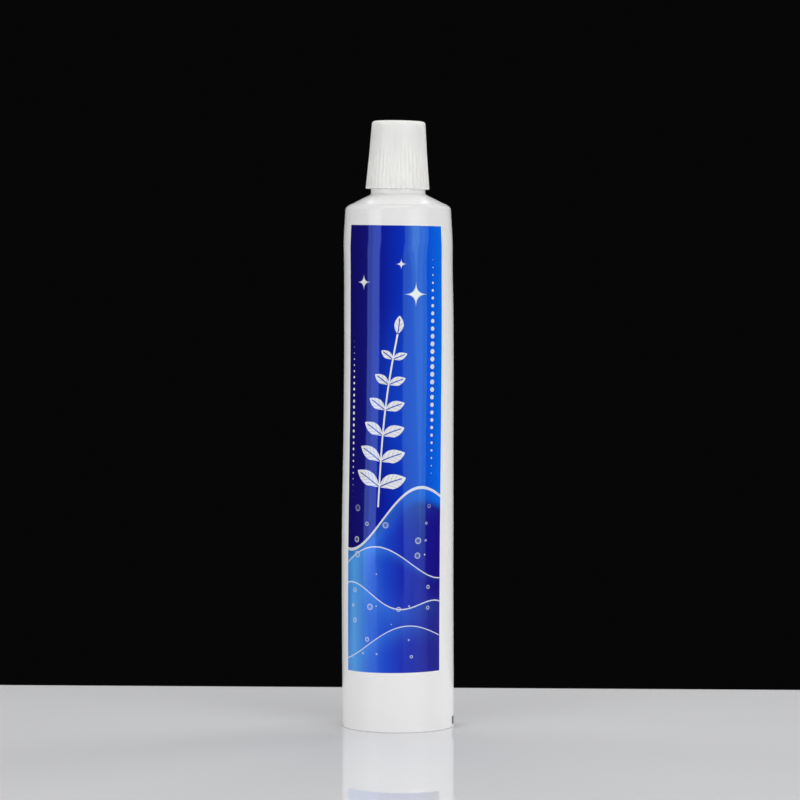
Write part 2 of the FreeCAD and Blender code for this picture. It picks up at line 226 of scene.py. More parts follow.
class Blank:
    """A piece on the bench: one mesh in edit mode, shaped by operators on what is picked."""

    def __init__(self, name: str) -> None:
        """Takes the primitive that was just added, and opens it.

        Args:
            name: name of the piece.
        """
        self.obj = bpy.context.active_object
        self.obj.name = self.obj.data.name = name
        bpy.ops.object.mode_set(mode="EDIT")

    @classmethod
    def from_point(cls, name: str, radius: float, height: float) -> "Blank":
        """Starts a piece as one vertex in the plane of +X and +Z.

        Args:
            name: name of the piece.
            radius: the vertex's distance from the axis.
            height: the vertex's height.

        Returns:
            The piece.
        """
        clear_selection()
        bpy.ops.mesh.primitive_plane_add(size=MM, location=(0, 0, 0))
        blank = cls(name)
        bpy.ops.mesh.merge(type="CENTER")
        bpy.ops.transform.translate(value=(radius * MM, 0, height * MM))
        return blank

    def pick(self, test: Test, faces: bool = False) -> None:
        """Selects the vertices, or the faces by their middles, that pass a test.

        Args:
            test: says of a place in metres whether it is wanted.
            faces: whether faces are picked.
        """
        bpy.ops.mesh.select_mode(type="FACE" if faces else "VERT")
        bpy.ops.mesh.select_all(action="DESELECT")
        mesh = bmesh.from_edit_mesh(self.obj.data)
        if faces:
            wanted = [face for face in mesh.faces if test(face.calc_center_median())]
        else:
            wanted = [vertex for vertex in mesh.verts if test(vertex.co)]
        for item in wanted:
            item.select = True
        mesh.select_flush_mode()
        bmesh.update_edit_mesh(self.obj.data)

    def pick_level(self, height: float) -> None:
        """Selects the vertices at one height."""
        self.pick(lambda at: abs(at.z - height * MM) < NEAR)

    def draw(self, points: Iterable[Point]) -> None:
        """Draws an outline on from the first vertex, run by run.

        Args:
            points: (radius, height) of each point; the first is where the vertex already is.
        """
        for (radius, height), (next_radius, next_height) in pairwise(points):
            step = ((next_radius - radius) * MM, 0, (next_height - height) * MM)
            bpy.ops.mesh.extrude_vertices_move(TRANSFORM_OT_translate={"value": step})

    def spin(self, steps: int, degrees: float = 360.0, copies: bool = False) -> None:
        """Spins the whole piece about the axis, or copies it round."""
        bpy.ops.mesh.select_all(action="SELECT")
        bpy.ops.mesh.spin(steps=steps, angle=math.radians(degrees), dupli=copies,
                          center=(0, 0, 0), axis=(0, 0, 1))

    @staticmethod
    def widen(factor_x: float, factor_y: float) -> None:
        """Scales what is picked about the axis."""
        bpy.ops.transform.resize(value=(factor_x, factor_y, 1), center_override=(0, 0, 0))

    def weld(self) -> None:
        """Merges doubles and turns the faces outwards."""
        bpy.ops.mesh.select_mode(type="VERT")
        bpy.ops.mesh.select_all(action="SELECT")
        bpy.ops.mesh.remove_doubles(threshold=WELD)
        bpy.ops.mesh.normals_make_consistent(inside=False)

    def face_wall_outwards(self) -> None:
        """Makes an open wall's faces agree, and turns them round if they look towards the axis."""
        bpy.ops.mesh.select_all(action="SELECT")
        bpy.ops.mesh.normals_make_consistent(inside=False)
        mesh = bmesh.from_edit_mesh(self.obj.data)
        outwards = sum(face.normal.xy.dot(face.calc_center_median().xy) for face in mesh.faces)
        if outwards < 0:
            bpy.ops.mesh.flip_normals()

    def close(self) -> bpy.types.Object:
        """Leaves edit mode.

        Returns:
            The object, selected alone.
        """
        bpy.ops.object.mode_set(mode="OBJECT")
        select_alone(self.obj)
        return self.obj


def turned(name: str, points: Sequence[Point], sides: int) -> Blank:
    """Turns an outline into a full round piece.

    Args:
        name: name of the piece.
        points: the outline.
        sides: how many columns go round.

    Returns:
        The piece, still on the bench.
    """
    blank = Blank.from_point(name, *points[0])
    blank.draw(points)
    blank.spin(sides)
    blank.weld()
    return blank


def apply_modifier(obj: bpy.types.Object, kind: str, **settings: object) -> None:
    """Adds a modifier to a piece and applies it.

    Args:
        obj: the piece, in object mode.
        kind: type of the modifier.
        **settings: the modifier's own settings.
    """
    modifier = obj.modifiers.new(kind.title(), kind)
    for name, value in settings.items():
        setattr(modifier, name, value)
    bpy.context.view_layer.objects.active = obj
    bpy.ops.object.modifier_apply(modifier=modifier.name)


def join_solid(obj: bpy.types.Object, other: bpy.types.Object) -> None:
    """Makes two closed solids one, with no wall left inside."""
    apply_modifier(obj, "BOOLEAN", operation="UNION", object=other, solver="EXACT")
    bpy.data.objects.remove(other)


def smooth(obj: bpy.types.Object, degrees: float = 32.0) -> None:
    """Shades the piece smooth, but for edges sharper than an angle."""
    select_alone(obj)
    bpy.ops.object.shade_smooth_by_angle(angle=math.radians(degrees))


@dataclass(frozen=True)
class Cant:
    """How far the cap leans on its thread's play, towards +X, and about which height."""

    degrees: float = 1.0
    height: float = 144.2

    def lean(self, obj: bpy.types.Object) -> None:
        """Leans a finished piece.

        Args:
            obj: the piece, whose object stays unturned.
        """
        select_alone(obj)
        bpy.ops.object.mode_set(mode="EDIT")
        bpy.ops.mesh.select_all(action="SELECT")
        turn_picked(self.degrees, "Y", (0, 0, self.height * MM))
        bpy.ops.object.mode_set(mode="OBJECT")


@dataclass(frozen=True)
class Thread:
    """A right-hand thread ridge round the axis that rises out of its wall and sinks back into it."""

    sunk: float             # radius inside the wall that carries it
    crest: float
    root: float             # radius of that wall's face
    start: float            # height of the ridge's middle where it starts, over +X
    turns: float = 1.75
    pitch: float = 3.0
    crest_width: float = 0.7
    flank: float = 30.0
    steps: int = 48         # in a turn
    runout: int = 7         # steps over which each end sinks
    tuck: float = 0.04      # how far below the wall's face the ends sink

    @property
    def middle(self) -> float:
        """Radius in metres of the middle of the ridge's section."""
        return (self.crest + self.sunk) / 2 * MM

    @property
    def outside(self) -> bool:
        """Whether the ridge stands outwards from its wall."""
        return self.crest > self.sunk

    def cut(self, name: str) -> bpy.types.Object:
        """Extrudes the ridge's section step by step along the helix.

        Args:
            name: name of the ridge.

        Returns:
            The ridge, a closed solid.
        """
        blank = self.section(name)
        count = round(self.turns * self.steps)
        rise = self.pitch / self.steps * MM
        for _ in range(count):
            bpy.ops.mesh.extrude_region_move(TRANSFORM_OT_translate={"value": (0, 0, rise)})
            turn_picked(360 / self.steps, "Z")
        for number in range(self.runout):
            share = ease(1 - number / self.runout)
            for section in {number, count - number}:
                self.sink(blank, section, share)
        blank.weld()
        return blank.close()

    def section(self, name: str) -> Blank:
        """Makes the ridge's section at its start, as one picked face.

        Args:
            name: name of the ridge.

        Returns:
            The section, still on the bench.
        """
        depth = abs(self.crest - self.sunk)
        base = self.crest_width + 2 * depth * math.tan(math.radians(self.flank))
        centre = (0, 0, self.start * MM)
        clear_selection()
        bpy.ops.mesh.primitive_plane_add(size=MM, location=(0, 0, 0), rotation=(math.pi / 2, 0, 0))
        bpy.ops.object.transform_apply(location=True, rotation=True, scale=True)
        blank = Blank(name)
        bpy.ops.transform.resize(value=(depth, 1, base), center_override=(0, 0, 0))
        bpy.ops.transform.translate(value=(self.middle, 0, self.start * MM))
        blank.pick(lambda at: (at.x > self.middle) == self.outside)
        bpy.ops.transform.resize(value=(1, 1, self.crest_width / base), center_override=centre)
        bpy.ops.mesh.select_mode(type="FACE")
        bpy.ops.mesh.select_all(action="SELECT")
        return blank

    def sink(self, blank: Blank, section: int, share: float) -> None:
        """Draws the crest of one section towards a little below the wall's face.

        Args:
            blank: the ridge.
            section: number of the section along the helix.
            share: how far the crest goes, from 0 to 1.
        """
        turn = 360 / self.steps * section
        height = (self.start + self.pitch * section / self.steps) * MM
        below = self.root - self.tuck if self.outside else self.root + self.tuck
        blank.pick(lambda at: turn_between(azimuth(at), turn) < 180 / self.steps
                   and abs(at.z - height) < self.pitch / 2 * MM
                   and (at.xy.length > self.middle) == self.outside)
        factor = (self.crest + (below - self.crest) * share) / self.crest
        blank.widen(factor, factor)


# ------------------------------------------------------------------ shader maths

class Wire:
    """A number that varies over a surface. Python's operators on it add Math nodes."""

    def __init__(self, graph: "Graph", socket: bpy.types.NodeSocket) -> None:
        """Holds the socket that gives the number."""
        self.graph = graph
        self.socket = socket

    def math(self, operation: str, *others: "Number", clamp: bool = False) -> "Wire":
        """One Math node, with this number first."""
        node = self.graph.add("ShaderNodeMath", {"operation": operation, "use_clamp": clamp},
                              dict(enumerate((self, *others))))
        return Wire(self.graph, node.outputs[0])

    def __add__(self, other: "Number") -> "Wire":
        """Sum."""
        return self.math("ADD", other)

    __radd__ = __add__

    def __sub__(self, other: "Number") -> "Wire":
        """Difference."""
        return self.math("SUBTRACT", other)

    def __rsub__(self, other: "Number") -> "Wire":
        """Difference the other way round."""
        return self.math("MULTIPLY_ADD", -1.0, other)

    def __mul__(self, other: "Number") -> "Wire":
        """Product."""
        return self.math("MULTIPLY", other)

    __rmul__ = __mul__

    def __truediv__(self, other: "Number") -> "Wire":
        """Quotient."""
        return self.math("DIVIDE", other)

    def __rtruediv__(self, other: "Number") -> "Wire":
        """Quotient the other way round."""
        return self.math("POWER", -1.0) * other

    def __pow__(self, other: "Number") -> "Wire":
        """Power."""
        return self.math("POWER", other)

    def __neg__(self) -> "Wire":
        """The number with its sign turned."""
        return self.math("MULTIPLY", -1.0)

    def __abs__(self) -> "Wire":
        """Size without sign."""
        return self.math("ABSOLUTE")

    def sin(self) -> "Wire":
        """Sine of the number as radians."""
        return self.math("SINE")

    def root(self) -> "Wire":
        """Square root."""
        return self.math("SQRT")

    def floor(self) -> "Wire":
        """Whole number at or below."""
        return self.math("FLOOR")

    def in_step(self) -> "Wire":
        """Place within the number's own step of 1, from -0.5 to 0.5."""
        return self.math("FRACT") - 0.5

    def either(self, other: "Number") -> "Wire":
        """The larger of two, which joins two masks."""
        return self.math("MAXIMUM", other)

    def above(self, level: "Number" = 0.0, soft: float = 0.07) -> "Wire":
        """A mask that is 1 where the number is above a level and 0 below it.

        Args:
            level: where the mask is half.
            soft: width of the ramp from 0 to 1.

        Returns:
            The mask.
        """
        if isinstance(level, Wire):
            return (self - level).above(0.0, soft)
        return self.math("MULTIPLY_ADD", 1 / soft, 0.5 - level / soft, clamp=True)

    def below(self, level: "Number", soft: float = 0.07) -> "Wire":
        """A mask that is 1 where the number is below a level and 0 above it.

        Args:
            level: where the mask is half.
            soft: width of the ramp from 0 to 1.

        Returns:
            The mask.
        """
        if isinstance(level, Wire):
            return (level - self).above(0.0, soft)
        return self.math("MULTIPLY_ADD", -1 / soft, 0.5 + level / soft, clamp=True)

    def line(self, width: float, soft: float = 0.07) -> "Wire":
        """A mask of the stripe of that width where the number is near 0."""
        return abs(self).below(width / 2, soft)


Number = float | Wire
Paint = Colour | bpy.types.NodeSocket


class Graph:
    """The node tree of one finish, with its surface shader."""

    def __init__(self, name: str, **constants: float | Triple) -> None:
        """Makes the material.

        Args:
            name: name of the material.
            **constants: what is the same all over the surface, for the shader's own sockets.
        """
        self.material = bpy.data.materials.new(name)
        self.material.use_nodes = True
        self.tree = self.material.node_tree
        self.tree.nodes.clear()
        self.shader = self.principled(**constants)
        self.output = self.add("ShaderNodeOutputMaterial", {}, {"Surface": self.shader.outputs[0]})

    def principled(self, **constants: float | Triple) -> bpy.types.Node:
        """A Principled shader with these constants on its own sockets."""
        return self.add("ShaderNodeBsdfPrincipled", {}, {
            key.replace("_", " "): value for key, value in constants.items()})

    def overlay(self, share: Wire, **constants: float | Triple) -> bpy.types.Node:
        """Lays another Principled shader over the surface so far.

        Args:
            share: how much of the new one shows, from 0 to 1.
            **constants: for the new shader's own sockets.

        Returns:
            The new shader.
        """
        over = self.principled(**constants)
        under = self.output.inputs["Surface"].links[0].from_socket
        mixed = self.add("ShaderNodeMixShader", {}, {0: share, 1: under, 2: over.outputs[0]})
        self.tree.links.new(mixed.outputs[0], self.output.inputs["Surface"])
        return over

    def add(self, kind: str, settings: dict[str, object],
            inputs: dict[str | int, object]) -> bpy.types.Node:
        """Adds one node.

        Args:
            kind: type of the node.
            settings: the node's own settings, set first; stops are a ramp's (place, colour) pairs.
            inputs: a value, a Wire or a socket for each input, by name or number.

        Returns:
            The node.
        """
        node = self.tree.nodes.new(kind)
        for name, setting in settings.items():
            if name == "stops":
                self.set_stops(node.color_ramp, setting)
            else:
                setattr(node, name, setting)
        for key, value in inputs.items():
            if isinstance(value, Wire):
                value = value.socket
            if isinstance(value, bpy.types.NodeSocket):
                self.tree.links.new(value, node.inputs[key])
            else:
                node.inputs[key].default_value = value
        return node

    @staticmethod
    def set_stops(ramp: bpy.types.ColorRamp, stops: Sequence[tuple[float, Colour]]) -> None:
        """Gives a ramp its colours.

        Args:
            ramp: the ramp.
            stops: (place, colour) pairs in order.
        """
        while len(ramp.elements) < len(stops):
            ramp.elements.new(1.0)
        for element, (place, colour) in zip(ramp.elements, stops):
            element.position = place
            element.color = colour

    def coordinates(self) -> bpy.types.NodeSocket:
        """The place on the object, in metres."""
        return self.add("ShaderNodeTexCoord", {}, {}).outputs["Object"]

    def place(self) -> tuple[Wire, Wire, Wire]:
        """x, y and z on the object, in millimetres."""
        split = self.add("ShaderNodeSeparateXYZ", {}, {0: self.coordinates()})
        return tuple(Wire(self, output) * (1 / MM) for output in split.outputs)

    def noise(self, grain: Triple, detail: float = 2.0, shift: float = 0.0) -> Wire:
        """Noise from about 0 to 1.

        Args:
            grain: size of its grains along x, y and z, in millimetres.
            detail: how many times finer noise is added.
            shift: keeps it apart from other noise on the piece.

        Returns:
            The noise.
        """
        stretch = self.add("ShaderNodeMapping", {}, {
            "Vector": self.coordinates(), "Location": (shift, shift, shift),
            "Scale": tuple(1 / (MM * size) for size in grain)})
        node = self.add("ShaderNodeTexNoise", {"noise_dimensions": "3D"}, {
            "Vector": stretch.outputs[0], "Scale": 1.0, "Detail": detail, "Roughness": 0.5})
        return Wire(self, node.outputs[0])

    def ramp(self, place: Wire, stops: Sequence[tuple[float, Colour]]) -> bpy.types.NodeSocket:
        """A colour for each place from 0 to 1."""
        return self.add("ShaderNodeValToRGB", {"stops": stops}, {0: place}).outputs[0]

    def blend(self, share: Number, under: Paint, over: Paint) -> bpy.types.NodeSocket:
        """The colour under where share is 0 and the one over it where share is 1."""
        node = self.add("ShaderNodeMix", {"data_type": "RGBA"}, {0: share, 6: under, 7: over})
        return node.outputs[2]

    def relief(self, height: Wire, distance: float) -> bpy.types.NodeSocket:
        """A normal bumped by a height from 0 to 1 times a distance in millimetres."""
        bump = self.add("ShaderNodeBump", {}, {"Distance": distance * MM, "Height": height})
        return bump.outputs[0]

    def feed(self, *shaders: bpy.types.Node, **inputs: Wire | bpy.types.NodeSocket) -> None:
        """Links what varies over the surface.

        Args:
            *shaders: the shaders it feeds; the first one if none is given.
            **inputs: what feeds each input.
        """
        for shader in shaders or (self.shader,):
            for name, value in inputs.items():
                socket = value.socket if isinstance(value, Wire) else value
                self.tree.links.new(socket, shader.inputs[name.replace("_", " ")])


def tone(red: float, green: float, blue: float) -> Colour:
    """An opaque colour from linear parts."""
    return (red, green, blue, 1.0)


def even(size: float) -> Triple:
    """The same size along x, y and z."""
    return (size, size, size)


# ------------------------------------------------------------------ the print

@dataclass(frozen=True)
class Ribbon:
    """A sheer ribbon of light that waves across the print."""

    height: float           # of its middle, on the panel's centre line
    swing: float
    wave: float             # radians for each millimetre across
    phase: float
    slope: float
    thickness: float
    strength: float
    edge: float             # width of its bright edge line
    swell: float = 0.35     # share of its thickness that comes and goes
    swell_wave: float = 0.62    # of its own wave
    swell_phase: float = 1.7    # of its own phase
    soft: float = 0.12

    def lay(self, across: Wire, height: Wire) -> tuple[Wire, Wire]:
        """Masks of the ribbon and of the fine line on its upper edge.

        Args:
            across: place across the panel in millimetres.
            height: height on the tube in millimetres.

        Returns:
            How much of the ribbon's colour shows, and the line.
        """
        middle = (across * self.wave + self.phase).sin() * self.swing + across * self.slope
        swell = (across * (self.wave * self.swell_wave) + self.phase * self.swell_phase).sin()
        half = (swell * self.swell + (1 - self.swell)) * self.thickness
        offset = height - middle - self.height
        fade = (offset / half * 0.5 + 0.5).either(0.0)
        body = abs(offset).below(half, self.soft) * fade * fade * self.strength
        return body, (offset - half).line(self.edge)


@dataclass(frozen=True)
class MintSprig:
    """A sprig of opposite leaves that get smaller up the stem."""

    foot: Point = (-3.4, 61.5)      # across and height
    tilt: float = 7.0
    step: float = 6.4               # from one pair of leaves to the next
    pairs: int = 6
    length: float = 7.4             # of the lowest leaves
    width: float = 1.85             # half of a leaf's width, for that length
    rise: float = 33.0              # of a leaf over the level
    taper: float = 0.098            # lost by each pair, as a share of the lowest
    tip: float = 0.622              # size of the leaf at the tip
    curl: float = 0.018             # of a leaf, off its line for each millimetre along, squared
    blade_soft: float = 0.1
    rib: float = 0.26               # width of the midrib
    rib_end: float = 0.86           # share of the leaf's length, as vein_end is
    vein_pitch: float = 1.25
    vein: float = 0.17              # share of that pitch
    vein_rake: float = 1.15         # along for each millimetre off the midrib
    vein_end: float = 0.8
    vein_strength: float = 0.4
    stem: float = 0.42              # width
    stem_foot: float = -5.0
    sway: float = 0.9
    sway_wave: float = 0.075        # radians for each millimetre up

    def leaf(self, along: Wire, over: Wire, size: Number) -> Wire:
        """A pointed leaf with a cut-out midrib and fine veins.

        Args:
            along: place along the leaf's line from its foot, in millimetres.
            over: place off that line.
            size: the leaf's size as a share of the lowest ones.

        Returns:
            The leaf's mask.
        """
        share = along / (size * self.length)
        bent = over + along * along * self.curl
        half = share * (1 - share) * (4 * self.width) * size
        blade = (half - abs(bent)).above(0.0, self.blade_soft)
        rib = bent.line(self.rib, 0.08) * share.below(self.rib_end, 0.05)
        vein = ((along - abs(bent) * self.vein_rake) / self.vein_pitch).in_step()
        veins = vein.line(self.vein, 0.1) * share.below(self.vein_end, 0.1) * self.vein_strength
        return blade * (1 - rib.either(veins))

    def draw(self, across: Wire, height: Wire) -> Wire:
        """The whole sprig.

        Args:
            across: place across the panel in millimetres.
            height: height on the tube in millimetres.

        Returns:
            The sprig's mask.
        """
        lean, rise = math.radians(self.tilt), math.radians(self.rise)
        right, up = across - self.foot[0], height - self.foot[1]
        side = right * math.cos(lean) - up * math.sin(lean)
        climb = right * math.sin(lean) + up * math.cos(lean)
        side = side + (climb * self.sway_wave).sin() * self.sway
        top = self.step * self.pairs
        pair = (climb / self.step).floor()
        mask = side.line(self.stem) * climb.above(self.stem_foot) * climb.below(top)
        for back in range(2):
            number = pair - back
            size = 1 - number * self.taper
            rest = climb - number * self.step
            out = abs(side)
            along = out * math.cos(rise) + rest * math.sin(rise)
            over = rest * math.cos(rise) - out * math.sin(rise)
            there = number.above(-0.5, 0.1) * number.below(self.pairs - 0.5, 0.1)
            mask = mask.either(self.leaf(along, over, size) * there)
        return mask.either(self.leaf(climb - top, side, self.tip))


@dataclass(frozen=True)
class DotColumn:
    """A column of dots that grow towards its middle."""

    across: float
    low: float
    high: float
    pitch: float            # from dot to dot
    size: float             # radius of the largest dot

    def draw(self, across: Wire, height: Wire) -> Wire:
        """The whole column.

        Args:
            across: place across the panel in millimetres.
            height: height on the tube in millimetres.

        Returns:
            The dots' mask.
        """
        share = (height - self.low) / (self.high - self.low)
        grow = (share * math.pi).sin() * self.size
        up = ((height - self.low) / self.pitch).in_step() * self.pitch
        right = across - self.across
        away = (up * up + right * right).root()
        return away.below(grow, 0.1) * share.above(0.0, 0.01) * share.below(1.0, 0.01)


@dataclass(frozen=True)
class Sparkle:
    """A four-pointed sparkle."""

    across: float
    height: float
    reach: float
    power: float = 0.46     # under 1, so its sides curve in

    def draw(self, across: Wire, height: Wire) -> Wire:
        """The sparkle's mask, from place across the panel and height on the tube."""
        right, up = abs(across - self.across) / self.reach, abs(height - self.height) / self.reach
        return (right ** self.power + up ** self.power).below(1.0, 0.12)


@dataclass(frozen=True)
class Bubbles:
    """Small round bubbles, brighter at the rim, in the lower print."""

    density: float = 0.24       # cells to a millimetre, and each may hold a bubble
    scatter: float = 0.75
    least: float = 0.03         # radius, in cells
    spread: float = 0.19        # from the least radius to the largest
    rim: float = 0.04           # width, in cells
    soft: float = 0.02
    body_strength: float = 0.35
    rim_strength: float = 0.7
    scarcity: float = 0.52      # share of the cells with no bubble
    margin: float = 2.2         # kept free beside the panel's edges
    surface: Point = (56.0, 10.0)       # height over which none shows, and its softness

    def draw(self, graph: Graph, across: Wire, height: Wire, room: Point) -> Wire:
        """All the bubbles.

        Args:
            graph: the finish's node tree.
            across: place across the panel in millimetres.
            height: height on the tube in millimetres.
            room: half of the panel's width, and the height of its lower edge.

        Returns:
            The bubbles' mask.
        """
        flat = graph.add("ShaderNodeCombineXYZ", {}, {
            0: across * self.density, 1: height * self.density, 2: 0.0})
        cells = graph.add("ShaderNodeTexVoronoi", {"voronoi_dimensions": "2D"}, {
            "Vector": flat.outputs[0], "Scale": 1.0, "Randomness": self.scatter})
        chance = graph.add("ShaderNodeSeparateColor", {}, {0: cells.outputs["Color"]})
        middle = graph.add("ShaderNodeSeparateXYZ", {}, {0: cells.outputs["Position"]})
        size = Wire(graph, chance.outputs[0]) * self.spread + self.least
        away = Wire(graph, cells.outputs["Distance"])
        inside = away.below(size, self.soft)
        rim = (away - size + self.rim / 2).line(self.rim, self.soft)
        half, low = (room[0] - self.margin) * self.density, (room[1] + self.margin) * self.density
        clear = abs(Wire(graph, middle.outputs[0])).below(half, 0.01)
        clear = clear * Wire(graph, middle.outputs[1]).above(low, 0.01)
        some = Wire(graph, chance.outputs[1]).above(self.scarcity, 0.05) * clear
        bubble = (inside * (away / size) * self.body_strength).either(rim * self.rim_strength)
        return bubble * some * height.below(*self.surface)


@dataclass(frozen=True)
class Shore:
    """The waved line below which the print's depths start."""

    height: float = 52.0
    swing: float = 4.0
    wave: float = 0.19
    phase: float = 0.5
    slope: float = 0.30
    soft: float = 2.2

    def draw(self, across: Wire, height: Wire) -> Wire:
        """Mask of what lies below the line."""
        line = (across * self.wave + self.phase).sin() * self.swing + across * self.slope
        return height.below(line + self.height, self.soft)


@dataclass(frozen=True)
class Glow:
    """A soft glow on the upper field, taller than it is wide."""

    across: float = 2.0
    height: float = 84.0
    fall: Point = (2.2, 0.32)       # how fast it fades across and up
    reach: float = 260.0
    strength: float = 0.40

    def draw(self, across: Wire, height: Wire) -> Wire:
        """The glow's mask.

        Args:
            across: place across the panel in millimetres.
            height: height on the tube in millimetres.

        Returns:
            The mask.
        """
        right, up = across - self.across, height - self.height
        away = right * right * self.fall[0] + up * up * self.fall[1]
        shine = (1 - away / self.reach).either(0.0)
        return shine * shine * self.strength


@dataclass(frozen=True)
class TubePrint:
    """The printed panel: a blue field that brightens to one side, a sprig, ribbons and bubbles."""

    half_width: float = 13.62
    top: float = 126.58
    bottom: float = 15.05
    top_slope: float = -0.0146
    bottom_slope: float = 0.011
    centre: float = -0.93           # across, at the top
    lean: float = 0.0085            # of the panel's centre line, across for each mm of height
    field: tuple[tuple[float, Colour], ...] = (
        (0.00, tone(0.0080, 0.0052, 0.125)), (0.22, tone(0.0075, 0.0070, 0.185)),
        (0.42, tone(0.0048, 0.0140, 0.345)), (0.55, tone(0.0036, 0.0260, 0.460)),
        (0.72, tone(0.0034, 0.0560, 0.605)), (0.88, tone(0.0034, 0.1060, 0.745)),
        (1.00, tone(0.0034, 0.1520, 0.810)))
    depths: tuple[tuple[float, Colour], ...] = (
        (0.00, tone(0.0360, 0.235, 0.740)), (0.10, tone(0.0950, 0.370, 0.800)),
        (0.28, tone(0.0300, 0.145, 0.680)), (0.44, tone(0.0110, 0.062, 0.600)),
        (0.60, tone(0.0110, 0.024, 0.440)), (0.80, tone(0.0110, 0.009, 0.295)),
        (1.00, tone(0.0115, 0.006, 0.220)))
    shore: Shore = Shore()
    glow: Glow = Glow()
    sprig: MintSprig = MintSprig()
    ribbons: tuple[Ribbon, ...] = (
        Ribbon(50.5, 3.6, 0.21, 0.4, 0.32, 5.2, 0.62, 0.74),
        Ribbon(40.0, 4.4, 0.17, 2.2, 0.10, 4.4, 0.50, 0.30),
        Ribbon(29.0, 3.2, 0.24, 4.4, -0.22, 5.6, 0.50, 0.30),
        Ribbon(20.5, 2.4, 0.19, 0.9, 0.16, 3.4, 0.42, 0.24))
    bubbles: Bubbles = Bubbles()
    dots: tuple[DotColumn, ...] = (
        DotColumn(10.4, 62.0, 121.0, 1.9, 0.62), DotColumn(-11.7, 58.0, 100.0, 1.5, 0.40))
    sparkles: tuple[Sparkle, ...] = (
        Sparkle(5.6, 109.5, 3.3), Sparkle(-8.2, 112.5, 2.2), Sparkle(1.8, 117.0, 1.5))
    ribbon_ink: Colour = tone(0.075, 0.36, 0.92)
    ribbon_reach: float = 1.04      # share of the width at which the ribbons have faded
    glow_ink: Colour = tone(0.010, 0.085, 0.66)
    white_ink: Colour = tone(0.80, 0.82, 0.83)
    line_white: float = 0.85        # how white the ribbons' lines are
    dot_white: float = 0.9

    def across(self, arc: Wire, height: Wire) -> Wire:
        """Place across the panel from its centre line, which leans a little."""
        return arc - (height - self.top) * self.lean - self.centre

    def panel(self, across: Wire, height: Wire) -> Wire:
        """The printed panel.

        Args:
            across: place across the panel in millimetres.
            height: height on the tube in millimetres.

        Returns:
            The panel's mask.
        """
        upper = height.below(across * self.top_slope + self.top)
        lower = height.above(across * self.bottom_slope + self.bottom)
        return abs(across).below(self.half_width) * upper * lower

    def ink(self, graph: Graph, arc: Wire, height: Wire) -> tuple[bpy.types.NodeSocket, Wire]:
        """Colour of the print and the mask of where there is any.

        Args:
            graph: the finish's node tree.
            arc: distance round the tube from the front, in millimetres.
            height: height on the tube, in millimetres.

        Returns:
            The colour and the panel's mask.
        """
        across = self.across(arc, height)
        share = across / (2 * self.half_width) + 0.5
        colour = graph.blend(self.shore.draw(across, height),
                             graph.ramp(share, self.field), graph.ramp(share, self.depths))
        colour = graph.blend(self.glow.draw(across, height), colour, self.glow_ink)
        white = self.sprig.draw(across, height)
        for ribbon in self.ribbons:
            body, line = ribbon.lay(across, height)
            colour = graph.blend(body * (self.ribbon_reach - share), colour, self.ribbon_ink)
            white = white.either(line * self.line_white)
        room = (self.half_width, self.bottom)
        white = white.either(self.bubbles.draw(graph, across, height, room))
        for column in self.dots:
            white = white.either(column.draw(across, height) * self.dot_white)
        for sparkle in self.sparkles:
            white = white.either(sparkle.draw(across, height))
        return graph.blend(white, colour, self.white_ink), self.panel(across, height)


# ------------------------------------------------------------------ finishes

